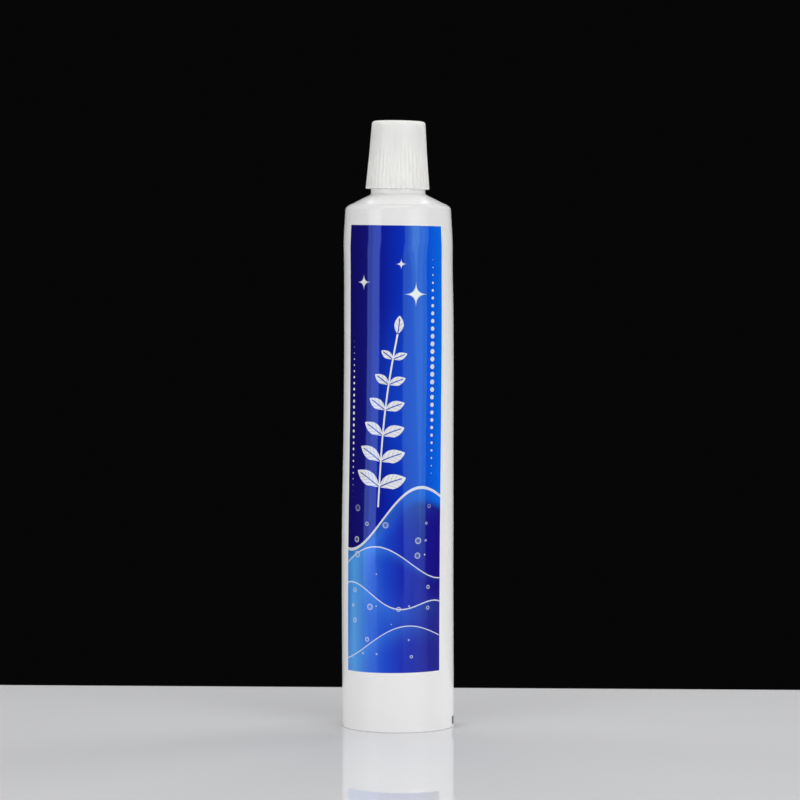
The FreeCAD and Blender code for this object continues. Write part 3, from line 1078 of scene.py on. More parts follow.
@dataclass(frozen=True)
class PrintedLaminate:
    """Glossy printed laminate: white outside with its print, dull inside, layered at the cut."""

    radius: float = 14.0
    white: Colour = tone(0.796, 0.795, 0.794)
    shade: Colour = tone(0.785, 0.785, 0.785)
    painted_foot_light: Colour = tone(0.852, 0.848, 0.848)     # painted light: the white is lighter towards the foot, standing in for light that the table bounces up
    foot: Point = (70.0, 120.0)         # middle and length of that painted lightening
    violet_gloss: Colour = tone(0.17, 0.30, 1.0)    # the inks take the red out of what they mirror
    cyan_gloss: Colour = tone(0.29, 0.80, 0.76)
    violet_density: float = 1.8         # the inks' indices of refraction
    cyan_density: float = 1.65
    cyan_side: Point = (-0.33, 8.17)    # arc at which the cyan is half there, and its softness
    cyan_height: Point = (50.0, 14.0)
    inside: Colour = tone(0.70, 0.71, 0.72)
    core: Colour = tone(0.42, 0.43, 0.45)
    core_from: float = 0.30             # shares of the wall's thickness
    inside_from: float = 0.55
    dull_from: float = 0.25
    contact_shade: Colour = tone(0.10, 0.105, 0.17)      # painted contact shade: a dark line along the bottom edge, where the tube stands on the table
    contact_shade_line: Point = (0.14, 0.06)     # height and softness
    contact_shade_strength: float = 0.5
    mark_ink: Colour = tone(0.010, 0.008, 0.090)
    mark: tuple[float, float, float, float] = (18.1, 24.4, 0.75, 2.8)    # arc and height, from and to
    mottle: Triple = (9.0, 9.0, 14.0)
    wave: Triple = (8.0, 8.0, 48.0)
    wave_share: float = 0.94            # of the relief; the rest is fine grain
    relief: float = 0.035
    rough: Point = (0.06, 0.03)         # least, and how much it varies
    inside_rough: float = 0.28          # added to it inside
    depth_name: str = "wall_depth"
    print: TubePrint = TubePrint()

    def wall(self, graph: Graph, height: Wire, depth: Wire) -> bpy.types.NodeSocket:
        """Colour of the bare laminate, painted lighter towards the foot and with painted contact
        shade along its bottom edge.

        Args:
            graph: the node tree.
            height: height on the tube in millimetres.
            depth: depth in the wall, 0 outside and 1 inside.

        Returns:
            The colour.
        """
        white = graph.blend(graph.noise(self.mottle, 3.0), self.shade, self.white)
        # painted light: the white is lighter towards the foot, where the table bounces light up
        white = graph.blend(height.below(*self.foot), white, self.painted_foot_light)
        wall = graph.blend(depth.above(self.core_from, 0.2), white, self.core)
        wall = graph.blend(depth.above(self.inside_from, 0.2), wall, self.inside)
        # painted contact shade: a dark line along the bottom edge, where the tube stands on the table
        return graph.blend(height.below(*self.contact_shade_line) * self.contact_shade_strength, wall, self.contact_shade)

    def material(self) -> bpy.types.Material:
        """Lays the inks over the laminate, with a gloss that turns from violet to cyan.

        Returns:
            The finished material.
        """
        graph = Graph("printed_laminate", IOR=1.5, Specular_IOR_Level=0.37)
        x, y, z = graph.place()
        arc = x.math("ARCTAN2", -y) * self.radius
        depth = Wire(graph, graph.add("ShaderNodeAttribute", {
            "attribute_name": self.depth_name}, {}).outputs["Fac"])
        colour, panel = self.print.ink(graph, arc, z)
        first, last, low, high = self.mark
        mark = arc.above(first) * arc.below(last) * z.above(low) * z.below(high)
        inner = depth.above(self.dull_from, 0.1)
        inked = panel.either(mark) * (1 - inner)
        to_cyan = arc.above(*self.cyan_side) * z.above(*self.cyan_height)
        violet = graph.overlay(inked, IOR=self.violet_density, Specular_Tint=self.violet_gloss)
        cyan = graph.overlay(inked * to_cyan, IOR=self.cyan_density, Specular_Tint=self.cyan_gloss)
        wave = graph.noise(self.wave, 1.0, shift=1.0)
        grain = graph.noise(even(0.7), 1.0, shift=2.0)
        least, swing = self.rough
        rough = graph.noise(even(0.5), shift=3.0) * swing + least + inner * self.inside_rough
        relief = graph.relief(wave * self.wave_share + grain * (1 - self.wave_share), self.relief)
        graph.feed(Base_Color=self.wall(graph, z, depth))
        graph.feed(violet, cyan, Base_Color=graph.blend(mark, colour, self.mark_ink))
        graph.feed(graph.shader, violet, cyan, Roughness=rough, Normal=relief)
        return graph.material


@dataclass(frozen=True)
class MouldedHead:
    """Glossy white polyethylene with faint flow marks and turning marks from its mould."""

    white: Colour = tone(0.893, 0.893, 0.889)
    shade: Colour = tone(0.874, 0.874, 0.871)
    flow: Triple = (2.4, 2.4, 5.0)
    ring_wave: float = 14.0         # turning marks: radians for each millimetre outwards
    ring_drift: float = 1.5         # how far the flow bends them
    ring_share: float = 0.35        # of the relief; the rest is fine grain
    relief: float = 0.004
    rough: Point = (0.10, 0.05)

    def material(self) -> bpy.types.Material:
        """Blends the flow marks and raises the turning marks.

        Returns:
            The finished material.
        """
        graph = Graph("moulded_head", IOR=1.5, Subsurface_Weight=0.5,
                      Subsurface_Radius=(1.0, 0.95, 0.9), Subsurface_Scale=0.8 * MM)
        x, y, _ = graph.place()
        flow = graph.noise(self.flow, 3.0)
        rings = ((x * x + y * y).root() * self.ring_wave + flow * self.ring_drift).sin() * 0.5 + 0.5
        grain = graph.noise(even(0.35), shift=7.0)
        least, swing = self.rough
        relief = rings * self.ring_share + grain * (1 - self.ring_share)
        graph.feed(Base_Color=graph.blend(flow, self.shade, self.white),
                   Roughness=graph.noise(even(0.9), shift=5.0) * swing + least,
                   Normal=graph.relief(relief, self.relief))
        return graph.material


@dataclass(frozen=True)
class SatinCap:
    """Satin polypropylene, a little warm, with the fine spark texture of its mould."""

    white: Colour = tone(0.862, 0.857, 0.832)
    shade: Colour = tone(0.844, 0.838, 0.810)
    flow: Triple = (3.0, 3.0, 7.0)
    spark: float = 0.16             # size of the spark texture's pits
    relief: float = 0.0015
    rough: Point = (0.30, 0.10)

    def material(self) -> bpy.types.Material:
        """Blends the flow marks and raises the spark texture.

        Returns:
            The finished material.
        """
        graph = Graph("satin_cap", IOR=1.49, Subsurface_Weight=0.9,
                      Subsurface_Radius=(1.0, 0.97, 0.9), Subsurface_Scale=1.5 * MM)
        least, swing = self.rough
        graph.feed(Base_Color=graph.blend(graph.noise(self.flow, 3.0), self.shade, self.white),
                   Roughness=graph.noise(even(0.4), shift=4.0) * swing + least,
                   Normal=graph.relief(graph.noise(even(self.spark), shift=6.0), self.relief))
        return graph.material


@dataclass(frozen=True)
class FoamLiner:
    """Matt closed-cell foam with its small cells at the surface."""

    white: Colour = tone(0.83, 0.83, 0.81)
    cell: Colour = tone(0.72, 0.72, 0.70)
    cell_size: float = 0.28
    relief: float = 0.03
    rough: Point = (0.6, 0.15)

    def material(self) -> bpy.types.Material:
        """Lays the cells over the foam.

        Returns:
            The finished material.
        """
        graph = Graph("foam_liner", IOR=1.45)
        cells = graph.add("ShaderNodeTexVoronoi", {"feature": "F1"}, {
            "Vector": graph.coordinates(), "Scale": 1 / (self.cell_size * MM)})
        away = Wire(graph, cells.outputs["Distance"])
        least, swing = self.rough
        graph.feed(Base_Color=graph.blend(away, self.cell, self.white),
                   Roughness=away * swing + least, Normal=graph.relief(away, self.relief))
        return graph.material


@dataclass(frozen=True)
class PolishedTable:
    """A pale polished table top that mirrors what stands on it."""

    pale: Colour = tone(0.792, 0.794, 0.807)
    shade: Colour = tone(0.768, 0.770, 0.784)
    cloud: float = 60.0             # size of its clouds
    rough: Point = (0.002, 0.006)

    def material(self) -> bpy.types.Material:
        """Clouds the top and varies its polish.

        Returns:
            The finished material.
        """
        graph = Graph("polished_table", IOR=1.12)
        least, swing = self.rough
        graph.feed(Base_Color=graph.blend(graph.noise(even(self.cloud), 3.0), self.shade, self.pale),
                   Roughness=graph.noise(even(12.0), shift=2.0) * swing + least)
        return graph.material


# ------------------------------------------------------------------ the pieces

def finish_piece(obj: bpy.types.Object, body: Body, slot: Slot, node: str,
                 material: bpy.types.Material) -> None:
    """Dresses a piece, hangs it on its body, hides the CAD node that it replaces and logs its size.

    Args:
        obj: the piece.
        body: the body that it rides on.
        slot: not used.
        node: the CAD node that it replaces.
        material: its finish.
    """
    obj.data.materials.clear()
    obj.data.materials.append(material)
    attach(obj, body.value)
    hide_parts(node)
    log.info("%s: %d vertices, %d faces", obj.name, len(obj.data.vertices), len(obj.data.polygons))


@dataclass(frozen=True)
class Shoulder:
    """The leaning wall and the cone that the sleeve and the head share."""

    radius: float = 13.88
    straight: float = 121.6
    edge_height: float = 131.3
    lean: float = 3.5
    slope: float = 26.5
    wall: float = 0.3
    lip: float = 12.42              # radius at which the fold ends on the cone

    def wall_radius(self, height: float, depth: float = 0.0) -> float:
        """Radius on the leaning wall, at a depth below its outside."""
        lean = math.radians(self.lean)
        return self.radius - (height - self.straight) * math.tan(lean) - depth / math.cos(lean)

    def cone_height(self, radius: float, depth: float = 0.0) -> float:
        """Height on the cone.

        Args:
            radius: distance from the axis.
            depth: how deep below the cone's outside.

        Returns:
            The height.
        """
        slope = math.radians(self.slope)
        out = self.wall_radius(self.edge_height) - radius
        return self.edge_height + out * math.tan(slope) - depth / math.cos(slope)

    def on_cone(self, radius: float, depth: float = 0.0, rounding: float = 0.0) -> Corner:
        """A corner of an outline that lies on the cone, or at a depth below it."""
        return Corner(radius, self.cone_height(radius, depth), rounding)

    def edge(self, wall_depth: float, cone_depth: float, rounding: float) -> Corner:
        """Where the wall and the cone meet, each moved inwards by its own depth.

        Args:
            wall_depth: how far the wall is moved.
            cone_depth: how far the cone is moved.
            rounding: radius of the corner.

        Returns:
            The corner.
        """
        lean, slope = math.radians(self.lean), math.radians(self.slope)
        drop = cone_depth / math.cos(slope) - wall_depth * math.tan(slope) / math.cos(lean)
        height = self.edge_height - drop / (1 - math.tan(lean) * math.tan(slope))
        return Corner(self.wall_radius(height, wall_depth), height, rounding)


@dataclass
class Sleeve:
    """The rolled laminate tube: a wall a little oval at its open end, a lap seam and a fold."""

    shoulder: Shoulder = Shoulder()
    sides: int = 254                # a face, not an edge, is at the middle of the back
    ring: float = 3.0               # between rings on the straight wall
    round_step: float = 5.0
    bend: float = 40.0
    fold: float = 1.4
    back: float = 90.0              # azimuth of the seam's middle
    seam_columns: int = 7
    seam_rise: float = 0.12
    seam_top: float = 129.7
    seam_edge: Point = (0.25, 0.8)      # shares of the rise left at the pressed side's columns
    widening: tuple[Point, ...] = (     # share at a height
        (44.0, 0.0192), (84.0, 0.0005), (101.0, -0.0045), (117.0, -0.013), (127.0, -0.001))
    bow: tuple[Point, ...] = ((0.0, 0.0), (40.0, -0.135), (96.0, 0.205), (128.0, 0.0))
    cut_round: float = 0.12
    cut_angle: float = 50.0         # edges sharper than this are rounded
    chart_cut: float = 95.0         # azimuth at which the bake's map starts, beside the seam
    chart_side: float = 0.003       # bare margin at the map's sides
    chart_outside: Point = (0.005, 0.92)    # foot and height of its bands, as shares
    chart_inside: Point = (0.935, 0.06)
    finish: PrintedLaminate = PrintedLaminate()

    def build(self) -> bpy.types.Object:
        """Turns the wall, raises the seam, squeezes it oval and gives it its thickness.

        Returns:
            The sleeve.
        """
        shoulder = self.shoulder
        points = outline([
            Corner(shoulder.radius, 0.0),
            Corner(shoulder.radius, shoulder.straight, self.bend),
            Corner(shoulder.wall_radius(self.seam_top), self.seam_top),
            shoulder.edge(0.0, 0.0, self.fold),
            shoulder.on_cone(shoulder.lip),
        ], self.ring, self.round_step)
        blank = turned("printed_sleeve", points, self.sides)
        self.raise_seam(blank)
        blank.face_wall_outwards()
        self.settle(blank, points)
        obj = blank.close()
        obj.vertex_groups.new(name=self.finish.depth_name)
        apply_modifier(obj, "SOLIDIFY", thickness=shoulder.wall * MM, offset=-1.0,
                       use_even_offset=True, shell_vertex_group=self.finish.depth_name)
        apply_modifier(obj, "BEVEL", width=self.cut_round * MM, segments=2,
                       limit_method="ANGLE", angle_limit=math.radians(self.cut_angle))
        self.store_depth(obj)
        self.unroll(obj)
        smooth(obj)
        return obj

    def settle(self, blank: Blank, points: Sequence[Point]) -> None:
        """Squeezes each ring a little oval and shifts it, as a soft tube settles.

        Args:
            blank: the sleeve.
            points: its outline.
        """
        for _, height in points:
            share, shift = follow(self.widening, height), follow(self.bow, height)
            blank.pick_level(height)
            blank.widen(1 + share, 1 - share)
            bpy.ops.transform.translate(value=(shift * MM, 0, 0))

    def raise_seam(self, blank: Blank) -> None:
        """Raises the lap along the back: a step on one side, and a pressed slope on the other.

        Args:
            blank: the sleeve.
        """
        column = 360 / self.sides
        half = column * self.seam_columns / 2
        top = self.seam_top * MM
        blank.pick(lambda at: turn_between(azimuth(at), self.back) < half and at.z < top, faces=True)
        bpy.ops.mesh.extrude_region_move()
        rise = 1 + self.seam_rise / self.shoulder.radius
        blank.widen(rise, rise)
        for number, kept in enumerate(self.seam_edge):
            place = self.back + half - column * number
            blank.pick(lambda at: turn_between(azimuth(at), place) < column / 4
                       and at.xy.length > self.seam_floor(at.z))
            lower = (1 + kept * (rise - 1)) / rise
            blank.widen(lower, lower)

    def seam_floor(self, height: float) -> float:
        """Radius in metres halfway up the seam's side, at a height in metres."""
        wall = min(self.shoulder.radius, self.shoulder.wall_radius(height / MM))
        return (wall + self.seam_rise / 2) * MM

    def store_depth(self, obj: bpy.types.Object) -> None:
        """Stores how deep each vertex lies in the wall, 0 outside and 1 inside, for the finish.

        Args:
            obj: the sleeve, with its inner shell in a vertex group.
        """
        inner = obj.vertex_groups[self.finish.depth_name]
        depths = [sum(group.weight for group in vertex.groups if group.group == inner.index)
                  for vertex in obj.data.vertices]
        obj.vertex_groups.remove(inner)
        stored = obj.data.attributes.new(self.finish.depth_name, "FLOAT", "POINT")
        stored.data.foreach_set("value", depths)

    def unroll(self, obj: bpy.types.Object) -> None:
        """Lays the outside over most of the bake's map, and the inside in a band above it.

        Args:
            obj: the sleeve, with its depths stored.
        """
        mesh = obj.data
        depth = mesh.attributes[self.finish.depth_name].data
        chart = mesh.uv_layers.new(name="OFBake")
        height = self.shoulder.cone_height(self.shoulder.lip) * MM
        for face in mesh.polygons:
            middle = (azimuth(face.center) - self.chart_cut) % 360
            inner = max(depth[index].value for index in face.vertices) > 0.5
            low, tall = self.chart_inside if inner else self.chart_outside
            for loop in face.loop_indices:
                place = mesh.vertices[mesh.loops[loop].vertex_index].co
                turn = (azimuth(place) - self.chart_cut) % 360
                turn += 360 * round((middle - turn) / 360)
                across = self.chart_side + (1 - 2 * self.chart_side) * turn / 360
                chart.data[loop].uv = (across, low + tall * place.z / height)

    def dress(self, obj: bpy.types.Object) -> None:
        """Gives the sleeve its finish and its place in the frame."""
        finish_piece(obj, Body.TUBE, Slot.LAMINATE, "sleeve", self.finish.material())


@dataclass(frozen=True)
class WeldBead:
    """The bead pressed out beside the sleeve's lip. Places are counted inwards from the lip."""

    height: float = 0.07            # over the cone, straight up
    under: float = 0.17             # where it starts, below the sleeve
    start: float = 0.10
    end: float = 0.42
    foot: float = 0.66
    start_round: float = 0.05
    end_round: float = 0.10
    foot_round: float = 0.3

    def corners(self, shoulder: Shoulder, gap: float) -> list[Corner]:
        """Its corners from the sleeve's inside to the bare cone.

        Args:
            shoulder: the cone that carries it.
            gap: how deep the head lies below the sleeve's outside.

        Returns:
            The corners.
        """
        def over(inwards: float, rounding: float) -> Corner:
            """A corner on top of the bead."""
            radius = shoulder.lip - inwards
            return Corner(radius, shoulder.cone_height(radius) + self.height, rounding)

        return [shoulder.on_cone(shoulder.lip - self.under, gap),
                over(self.start, self.start_round),
                over(self.end, self.end_round),
                shoulder.on_cone(shoulder.lip - self.foot, 0.0, self.foot_round)]


@dataclass
class Head:
    """The moulding that closes the tube: skirt, cone, collar, threaded neck and nozzle."""

    shoulder: Shoulder = Shoulder()
    bead: WeldBead = WeldBead()
    sides: int = 192
    ring: float = 4.0
    skirt_length: float = 4.0
    skirt: float = 0.7
    skirt_gap: float = 0.03         # to the sleeve's inside
    skirt_round: float = 0.15
    edge_round: float = 0.5
    inner_edge_round: float = 0.8
    thickness: float = 1.3
    collar: float = 6.87
    collar_top: float = 136.65
    collar_foot_round: float = 0.6
    collar_round: float = 0.3
    root: float = 5.2
    root_round: float = 0.25
    nozzle_top: float = NOZZLE_TOP
    nozzle_round: float = 0.45
    nozzle_thickness: float = 1.2
    orifice: float = 3.0
    orifice_round: float = 0.3
    ledge_round: float = 0.1
    bore: float = 3.9
    bore_round: float = 0.3
    bore_foot_round: float = 0.5
    thread: Thread = Thread(sunk=4.9, crest=6.0, root=5.2, start=NOZZLE_TOP - 7.45)
    finish: MouldedHead = MouldedHead()

    def build(self) -> bpy.types.Object:
        """Turns the head and joins the thread to its neck.

        Returns:
            The head.
        """
        shoulder = self.shoulder
        low = shoulder.edge_height - self.skirt_length
        gap = shoulder.wall + self.skirt_gap
        inner = shoulder.wall + self.skirt
        outer_foot, inner_foot = shoulder.wall_radius(low, gap), shoulder.wall_radius(low, inner)
        foot = Corner((outer_foot + inner_foot) / 2, low)
        ledge = self.nozzle_top - self.nozzle_thickness
        points = outline([
            foot,
            Corner(outer_foot, low, self.skirt_round),
            shoulder.edge(gap, gap, self.edge_round),
            *self.bead.corners(shoulder, gap),
            shoulder.on_cone(self.collar, 0.0, self.collar_foot_round),
            Corner(self.collar, self.collar_top, self.collar_round),
            Corner(self.root, self.collar_top, self.root_round),
            Corner(self.root, self.nozzle_top, self.nozzle_round),
            Corner(self.orifice, self.nozzle_top, self.orifice_round),
            Corner(self.orifice, ledge, self.ledge_round),
            Corner(self.bore, ledge - (self.bore - self.orifice), self.bore_round),
            shoulder.on_cone(self.bore, self.thickness, self.bore_foot_round),
            shoulder.edge(inner, self.thickness, self.inner_edge_round),
            Corner(inner_foot, low, self.skirt_round),
            foot,
        ], self.ring)
        obj = turned("moulded_shoulder_and_neck", points, self.sides).close()
        join_solid(obj, self.thread.cut("neck_thread"))
        smooth(obj)
        return obj

    def dress(self, obj: bpy.types.Object) -> None:
        """Gives the head its finish and its place in the frame."""
        finish_piece(obj, Body.TUBE, Slot.HEAD, "shoulder_and_neck", self.finish.material())


@dataclass(frozen=True)
class GateMark:
    """The shallow dimple in the cap's top, with the stub of the runner in it."""

    radius: float = 0.95
    margin: float = 0.12            # outside its edge, where the top is still plain
    slope: float = 0.14
    depth: float = 0.16
    stub: float = 0.42
    stub_top: float = 0.34
    stub_edge: float = 0.03         # below the cap's top
    stub_middle: float = 0.02

    def corners(self, top: float) -> list[Corner]:
        """Its corners from inside its edge to the axis, for a cap with its top at a height."""
        return [Corner(self.radius - self.slope, top - self.depth),
                Corner(self.stub, top - self.depth),
                Corner(self.stub_top, top - self.stub_edge),
                Corner(0.0, top - self.stub_middle)]


@dataclass
class Cap:
    """The ribbed screw cap: one rib is modelled, and the rest are copies of it round the axis."""

    ribs: int = 40
    columns: int = 10               # in one rib
    rim: float = 8.03
    rim_height: float = CAP_RIM
    rim_round: float = 0.2
    waist: float = 7.28
    waist_height: float = CAP_RIM + 8.7
    waist_round: float = 9.0
    top: float = 6.70
    top_height: float = 153.06
    top_rings: tuple[float, ...] = (0.72, 0.56, 0.42, 0.28)     # shares of the top's radius
    dome: float = 0.25
    edge_round: float = 0.85
    outer_ring: float = 0.8
    round_step: float = 7.0
    counterbore: float = 7.17
    counterbore_top: float = 137.05
    counterbore_round: float = 0.2
    mouth_round: float = 0.12
    bore: float = 6.2
    chamber: float = 5.95
    chamber_height: float = 149.57
    chamber_round: float = 0.25
    seat: float = SEAT
    inner_ring: float = 4.0
    rim_groove: float = 0.09
    waist_groove: float = 0.125
    upper_groove: float = 0.04
    least_groove: float = 0.002     # shallower ones aren't pressed
    groove_step: float = 0.9        # height over which the groove gets shallow at the waist
    groove_end: float = 1.3         # below the top
    groove_fade: float = 2.5        # how soon it is full below its end
    groove_power: float = 1.35      # how sharp it is at its bottom
    crest_share: float = 0.26       # of half a rib's pitch that is left round
    crisp: float = 40.0             # degrees: edges sharper than this aren't shaded smooth
    gate: GateMark = GateMark()
    thread: Thread = Thread(sunk=6.5, crest=5.4, root=6.2, start=SEAT - 9.546)
    cant: Cant = Cant()
    finish: SatinCap = SatinCap()

    def under_rim(self) -> Corner:
        """The middle of the rim's flat underside, where the two outlines meet."""
        return Corner((self.counterbore + self.rim) / 2, self.rim_height)

    def inside(self) -> list[Point]:
        """Outline from the middle of the seat down to the rim."""
        return outline([
            Corner(0.0, self.seat),
            Corner(self.chamber, self.seat, self.chamber_round),
            Corner(self.chamber, self.chamber_height + self.bore - self.chamber),
            Corner(self.bore, self.chamber_height),
            Corner(self.bore, self.counterbore_top + self.counterbore - self.bore),
            Corner(self.counterbore, self.counterbore_top, self.counterbore_round),
            Corner(self.counterbore, self.rim_height, self.mouth_round),
            self.under_rim(),
        ], self.inner_ring)

    def on_top(self, radius: float) -> Corner:
        """A corner on the slightly domed top."""
        return Corner(radius, self.top_height - self.dome * (radius / self.top) ** 2)

    def outside(self) -> list[Point]:
        """Outline from the rim up the ribbed wall to the gate mark on the top."""
        gate = self.gate
        return outline([
            self.under_rim(),
            Corner(self.rim, self.rim_height, self.rim_round),
            Corner(self.waist, self.waist_height, self.waist_round),
            Corner(self.top, self.top_height - self.dome, self.edge_round),
            *(self.on_top(self.top * share) for share in self.top_rings),
            self.on_top(gate.radius + gate.margin),
            self.on_top(gate.radius),
            *gate.corners(self.top_height),
        ], self.outer_ring, self.round_step)

    def groove_depth(self, height: float) -> float:
        """Depth of the grooves: plain below the waist and faint above it.

        Args:
            height: height on the cap.

        Returns:
            The depth at the middle of a groove.
        """
        if height < self.waist_height:
            share = (height - self.rim_height) / (self.waist_height - self.rim_height)
            return self.rim_groove + (self.waist_groove - self.rim_groove) * share
        share = min((height - self.waist_height) / self.groove_step, 1.0)
        depth = self.waist_groove + (self.upper_groove - self.waist_groove) * share
        end = self.top_height - self.groove_end
        left = (end - height) / (end - self.waist_height)
        return max(depth * min(left * self.groove_fade, 1.0), 0.0)

    def press_grooves(self, blank: Blank, points: Sequence[Point]) -> None:
        """Presses half a groove into each side of the one rib, ring by ring.

        Args:
            blank: the rib, a wedge of the cap.
            points: the outline of its outside.
        """
        pitch = 360 / self.ribs
        for radius, height in points:
            depth = self.groove_depth(height)
            if depth < self.least_groove:
                continue
            for column in range(1, self.columns):
                off_crest = min(column, self.columns - column) / (self.columns / 2)
                share = (off_crest - self.crest_share) / (1 - self.crest_share)
                if share <= 0:
                    continue
                turn = pitch * column / self.columns
                blank.pick(lambda at: abs(at.z - height * MM) < NEAR
                           and abs(at.xy.length - radius * MM) < NEAR
                           and abs(abs(azimuth(at)) - turn) < NEAR_TURN)
                factor = 1 - depth * share ** self.groove_power / radius
                blank.widen(factor, factor)

    def build(self) -> bpy.types.Object:
        """Models one rib from seat to top, copies it round, and joins the thread to the bore.

        Returns:
            The cap.
        """
        inside, outside = self.inside(), self.outside()
        points = inside + outside[1:]
        blank = Blank.from_point("ribbed_screw_cap", *points[0])
        blank.draw(points)
        blank.spin(self.columns, 360 / self.ribs)
        self.press_grooves(blank, outside)
        blank.spin(self.ribs - 1, 360 - 360 / self.ribs, copies=True)
        blank.weld()
        obj = blank.close()
        join_solid(obj, self.thread.cut("cap_thread"))
        self.cant.lean(obj)
        smooth(obj, self.crisp)
        return obj

    def dress(self, obj: bpy.types.Object) -> None:
        """Gives the cap its finish and its place in the frame."""
        finish_piece(obj, Body.CAP, Slot.CAP, "screw_cap", self.finish.material())


@dataclass
class Liner:
    """The foam disc in the cap, with the ring that the nozzle has pressed into it."""

    radius: float = 5.78
    low: float = NOZZLE_TOP
    high: float = 151.585       # lies flat on the nozzle and clear of the leaning cap
    edge: float = 0.14
    ring: float = 1.2
    press: float = 0.05
    pressed: Point = (3.1, 4.95)
    press_slope: float = 0.2
    press_round: float = 0.15
    sides: int = 128
    finish: FoamLiner = FoamLiner()

    def build(self) -> bpy.types.Object:
        """Turns the disc.

        Returns:
            The liner.
        """
        first, last = self.pressed
        raised = self.low - self.press
        points = outline([
            Corner(0.0, raised),
            Corner(first - self.press_slope, raised, self.press_round),
            Corner(first, self.low, self.press_round),
            Corner(last, self.low, self.press_round),
            Corner(last + self.press_slope, raised, self.press_round),
            Corner(self.radius, raised, self.edge),
            Corner(self.radius, self.high, self.edge),
            Corner(0.0, self.high),
        ], self.ring)
        obj = turned("foam_cap_liner", points, self.sides).close()
        smooth(obj)
        return obj

    def dress(self, obj: bpy.types.Object) -> None:
        """Gives the liner its finish and its place in the frame."""
        finish_piece(obj, Body.LINER, Slot.LINER, "cap_liner", self.finish.material())


# ------------------------------------------------------------------ the studio

@dataclass(frozen=True)
class SoftBox:
    """A plain soft light that faces the middle of the tube."""

    name: str
    turn: float             # degrees round the tube from the front, + to the right
    distance: float
    height: float           # of its middle
    width: float
    tall: float
    power: float
    mirrored: bool = True   # whether gloss shows it
    roll: float = 0.0       # degrees that it leans about the line to the tube
    aim: float = 76.0       # height that it faces

    def hang(self) -> None:
        """Hangs the light."""
        turn = math.radians(self.turn)
        place = Vector((math.sin(turn) * self.distance, -math.cos(turn) * self.distance, self.height))
        clear_selection()
        bpy.ops.object.light_add(type="AREA", location=place * MM)
        lamp = bpy.context.active_object
        lamp.name = lamp.data.name = self.name
        lamp.rotation_euler = (place - Vector((0, 0, self.aim))).to_track_quat("Z", "Y").to_euler()
        lamp.rotation_euler.rotate_axis("Z", -math.radians(self.roll))
        lamp.data.shape = "RECTANGLE"
        lamp.data.size = self.width * MM
        lamp.data.size_y = self.tall * MM
        lamp.data.energy = self.power
        lamp.visible_camera = False
        lamp.visible_glossy = self.mirrored


@dataclass(frozen=True)
class Table:
    """A slab with softly rounded edges, its top at the height of the tube's rim."""

    back: float = 71.8
    front: float = -330.0
    half: float = 330.0
    thickness: float = 24.0
    turn: float = -2.6
    edge: float = 2.5
    edge_steps: int = 5
    flat_inset: float = 1.0         # keeps the top's shading flat beside its round edges
    finish: PolishedTable = PolishedTable()

    def build(self) -> bpy.types.Object:
        """Models the slab and stages it.

        Returns:
            The table.
        """
        clear_selection()
        bpy.ops.mesh.primitive_cube_add(size=MM, location=(0, 0, 0))
        blank = Blank("studio_table")
        bpy.ops.transform.resize(value=(2 * self.half, self.back - self.front, self.thickness),
                                 center_override=(0, 0, 0))
        middle = (self.back + self.front) / 2
        bpy.ops.transform.translate(value=(0, middle * MM, -self.thickness / 2 * MM))
        bpy.ops.mesh.bevel(offset=self.edge * MM, segments=self.edge_steps, affect="EDGES")
        blank.pick(lambda at: at.z > -NEAR, faces=True)
        bpy.ops.mesh.inset(thickness=self.flat_inset * MM)
        bpy.ops.mesh.select_all(action="SELECT")
        turn_picked(self.turn, "Z", (0, self.back * MM, 0))
        obj = blank.close()
        smooth(obj)
        obj.data.materials.append(self.finish.material())
        return obj


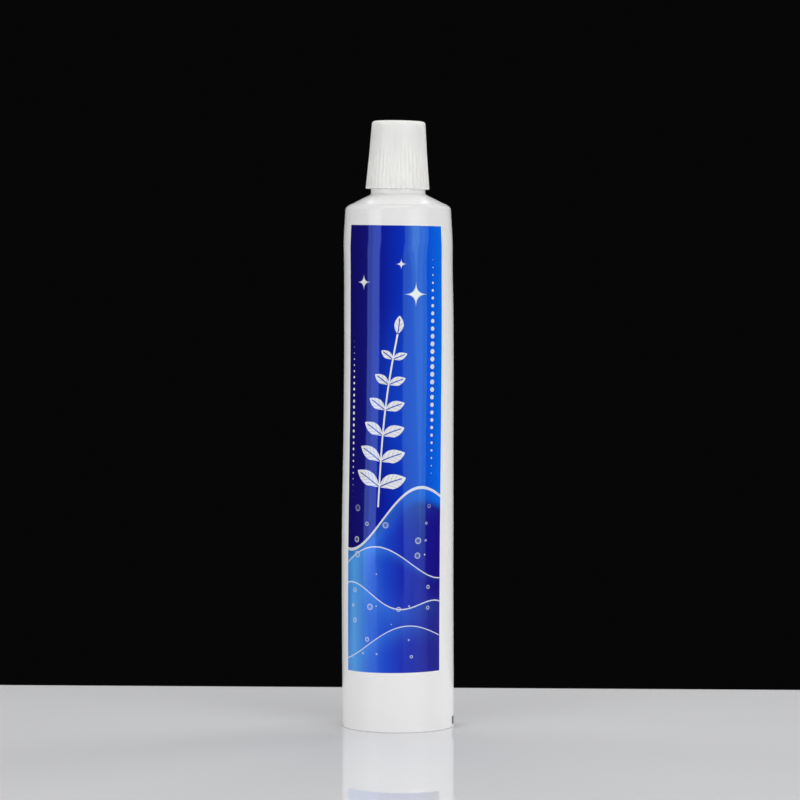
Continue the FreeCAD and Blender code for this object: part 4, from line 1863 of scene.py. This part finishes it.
@dataclass
class Studio:
    """The table, the lights and the camera."""

    table: Table = Table()
    room: Colour = tone(0.0021, 0.0021, 0.0024)
    camera: Triple = (0.0, -793.0, 119.4)
    aim: Triple = (0.48, 0.0, 82.63)
    lens: float = 141.35
    sensor: float = 36.0
    clip: Point = (0.02, 20.0)      # metres: the nearest and the farthest that the camera sees
    boxes: tuple[SoftBox, ...] = (
        SoftBox("left_box", -52.1, 820.0, 200.0, 385.0, 900.0, 1.95, roll=23.0),
        SoftBox("left_box_inner", -46.3, 820.0, 200.0, 230.0, 900.0, 0.50, roll=23.0),
        SoftBox("right_box", 39.6, 820.0, 200.0, 700.0, 900.0, 2.33, roll=32.0),
        SoftBox("right_box_inner", 44.6, 820.0, 325.0, 470.0, 650.0, 0.65, roll=32.0),
        SoftBox("right_box_core", 43.4, 820.0, 370.0, 215.0, 560.0, 0.42, roll=32.0),
        SoftBox("overhead", 0.0, 200.0, 900.0, 620.0, 620.0, 2.96),
        SoftBox("overhead_back", 180.0, 380.0, 760.0, 700.0, 500.0, 2.0, mirrored=False),
        SoftBox("front_fill", 0.0, 900.0, 260.0, 900.0, 420.0, 1.75, mirrored=False),
        SoftBox("rear_fill", 180.0, 900.0, 260.0, 900.0, 420.0, 1.0, mirrored=False),
        SoftBox("side_fill_left", -85.0, 900.0, 160.0, 500.0, 500.0, 0.84, mirrored=False),
        SoftBox("side_fill_right", 85.0, 900.0, 160.0, 500.0, 500.0, 0.434, mirrored=False),
        SoftBox("back_left", -122.0, 900.0, 300.0, 420.0, 700.0, 1.58, mirrored=False),
        SoftBox("back_right", 122.0, 900.0, 300.0, 420.0, 700.0, 3.53, mirrored=False),
        SoftBox("spot_left", -166.0, 640.0, 690.0, 150.0, 200.0, 0.15),
        SoftBox("spot_right", 166.0, 640.0, 690.0, 150.0, 200.0, 0.14),
    )

    def light(self) -> None:
        """Hangs every light in a dark room."""
        for box in self.boxes:
            box.hang()
        scene = bpy.context.scene
        scene.world = bpy.data.worlds.new("dark_room")
        scene.world.use_nodes = True
        scene.world.node_tree.nodes["Background"].inputs[0].default_value = self.room
        scene.view_settings.view_transform = "Standard"

    def set_camera(self) -> None:
        """Sets the camera in front, a little above the middle of the tube."""
        place = Vector(self.camera)
        clear_selection()
        bpy.ops.object.camera_add(location=place * MM)
        camera = bpy.context.active_object
        camera.name = "camera"
        camera.rotation_euler = (place - Vector(self.aim)).to_track_quat("Z", "Y").to_euler()
        camera.data.lens = self.lens
        camera.data.sensor_width = self.sensor
        camera.data.clip_start, camera.data.clip_end = self.clip
        bpy.context.scene.camera = camera

    def build(self) -> None:
        """Sets the table, the lights and the camera."""
        table = self.table.build()
        self.light()
        self.set_camera()
        log.info("%s, %d lights and the camera are set", table.name, len(self.boxes))


def main() -> None:
    """Builds and dresses each piece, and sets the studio."""
    logging.basicConfig(level=logging.INFO, format="%(message)s")
    for assembly in (Sleeve(), Head(), Cap(), Liner()):
        assembly.dress(assembly.build())
    Studio().build()


if __name__ == "__main__":
    main()
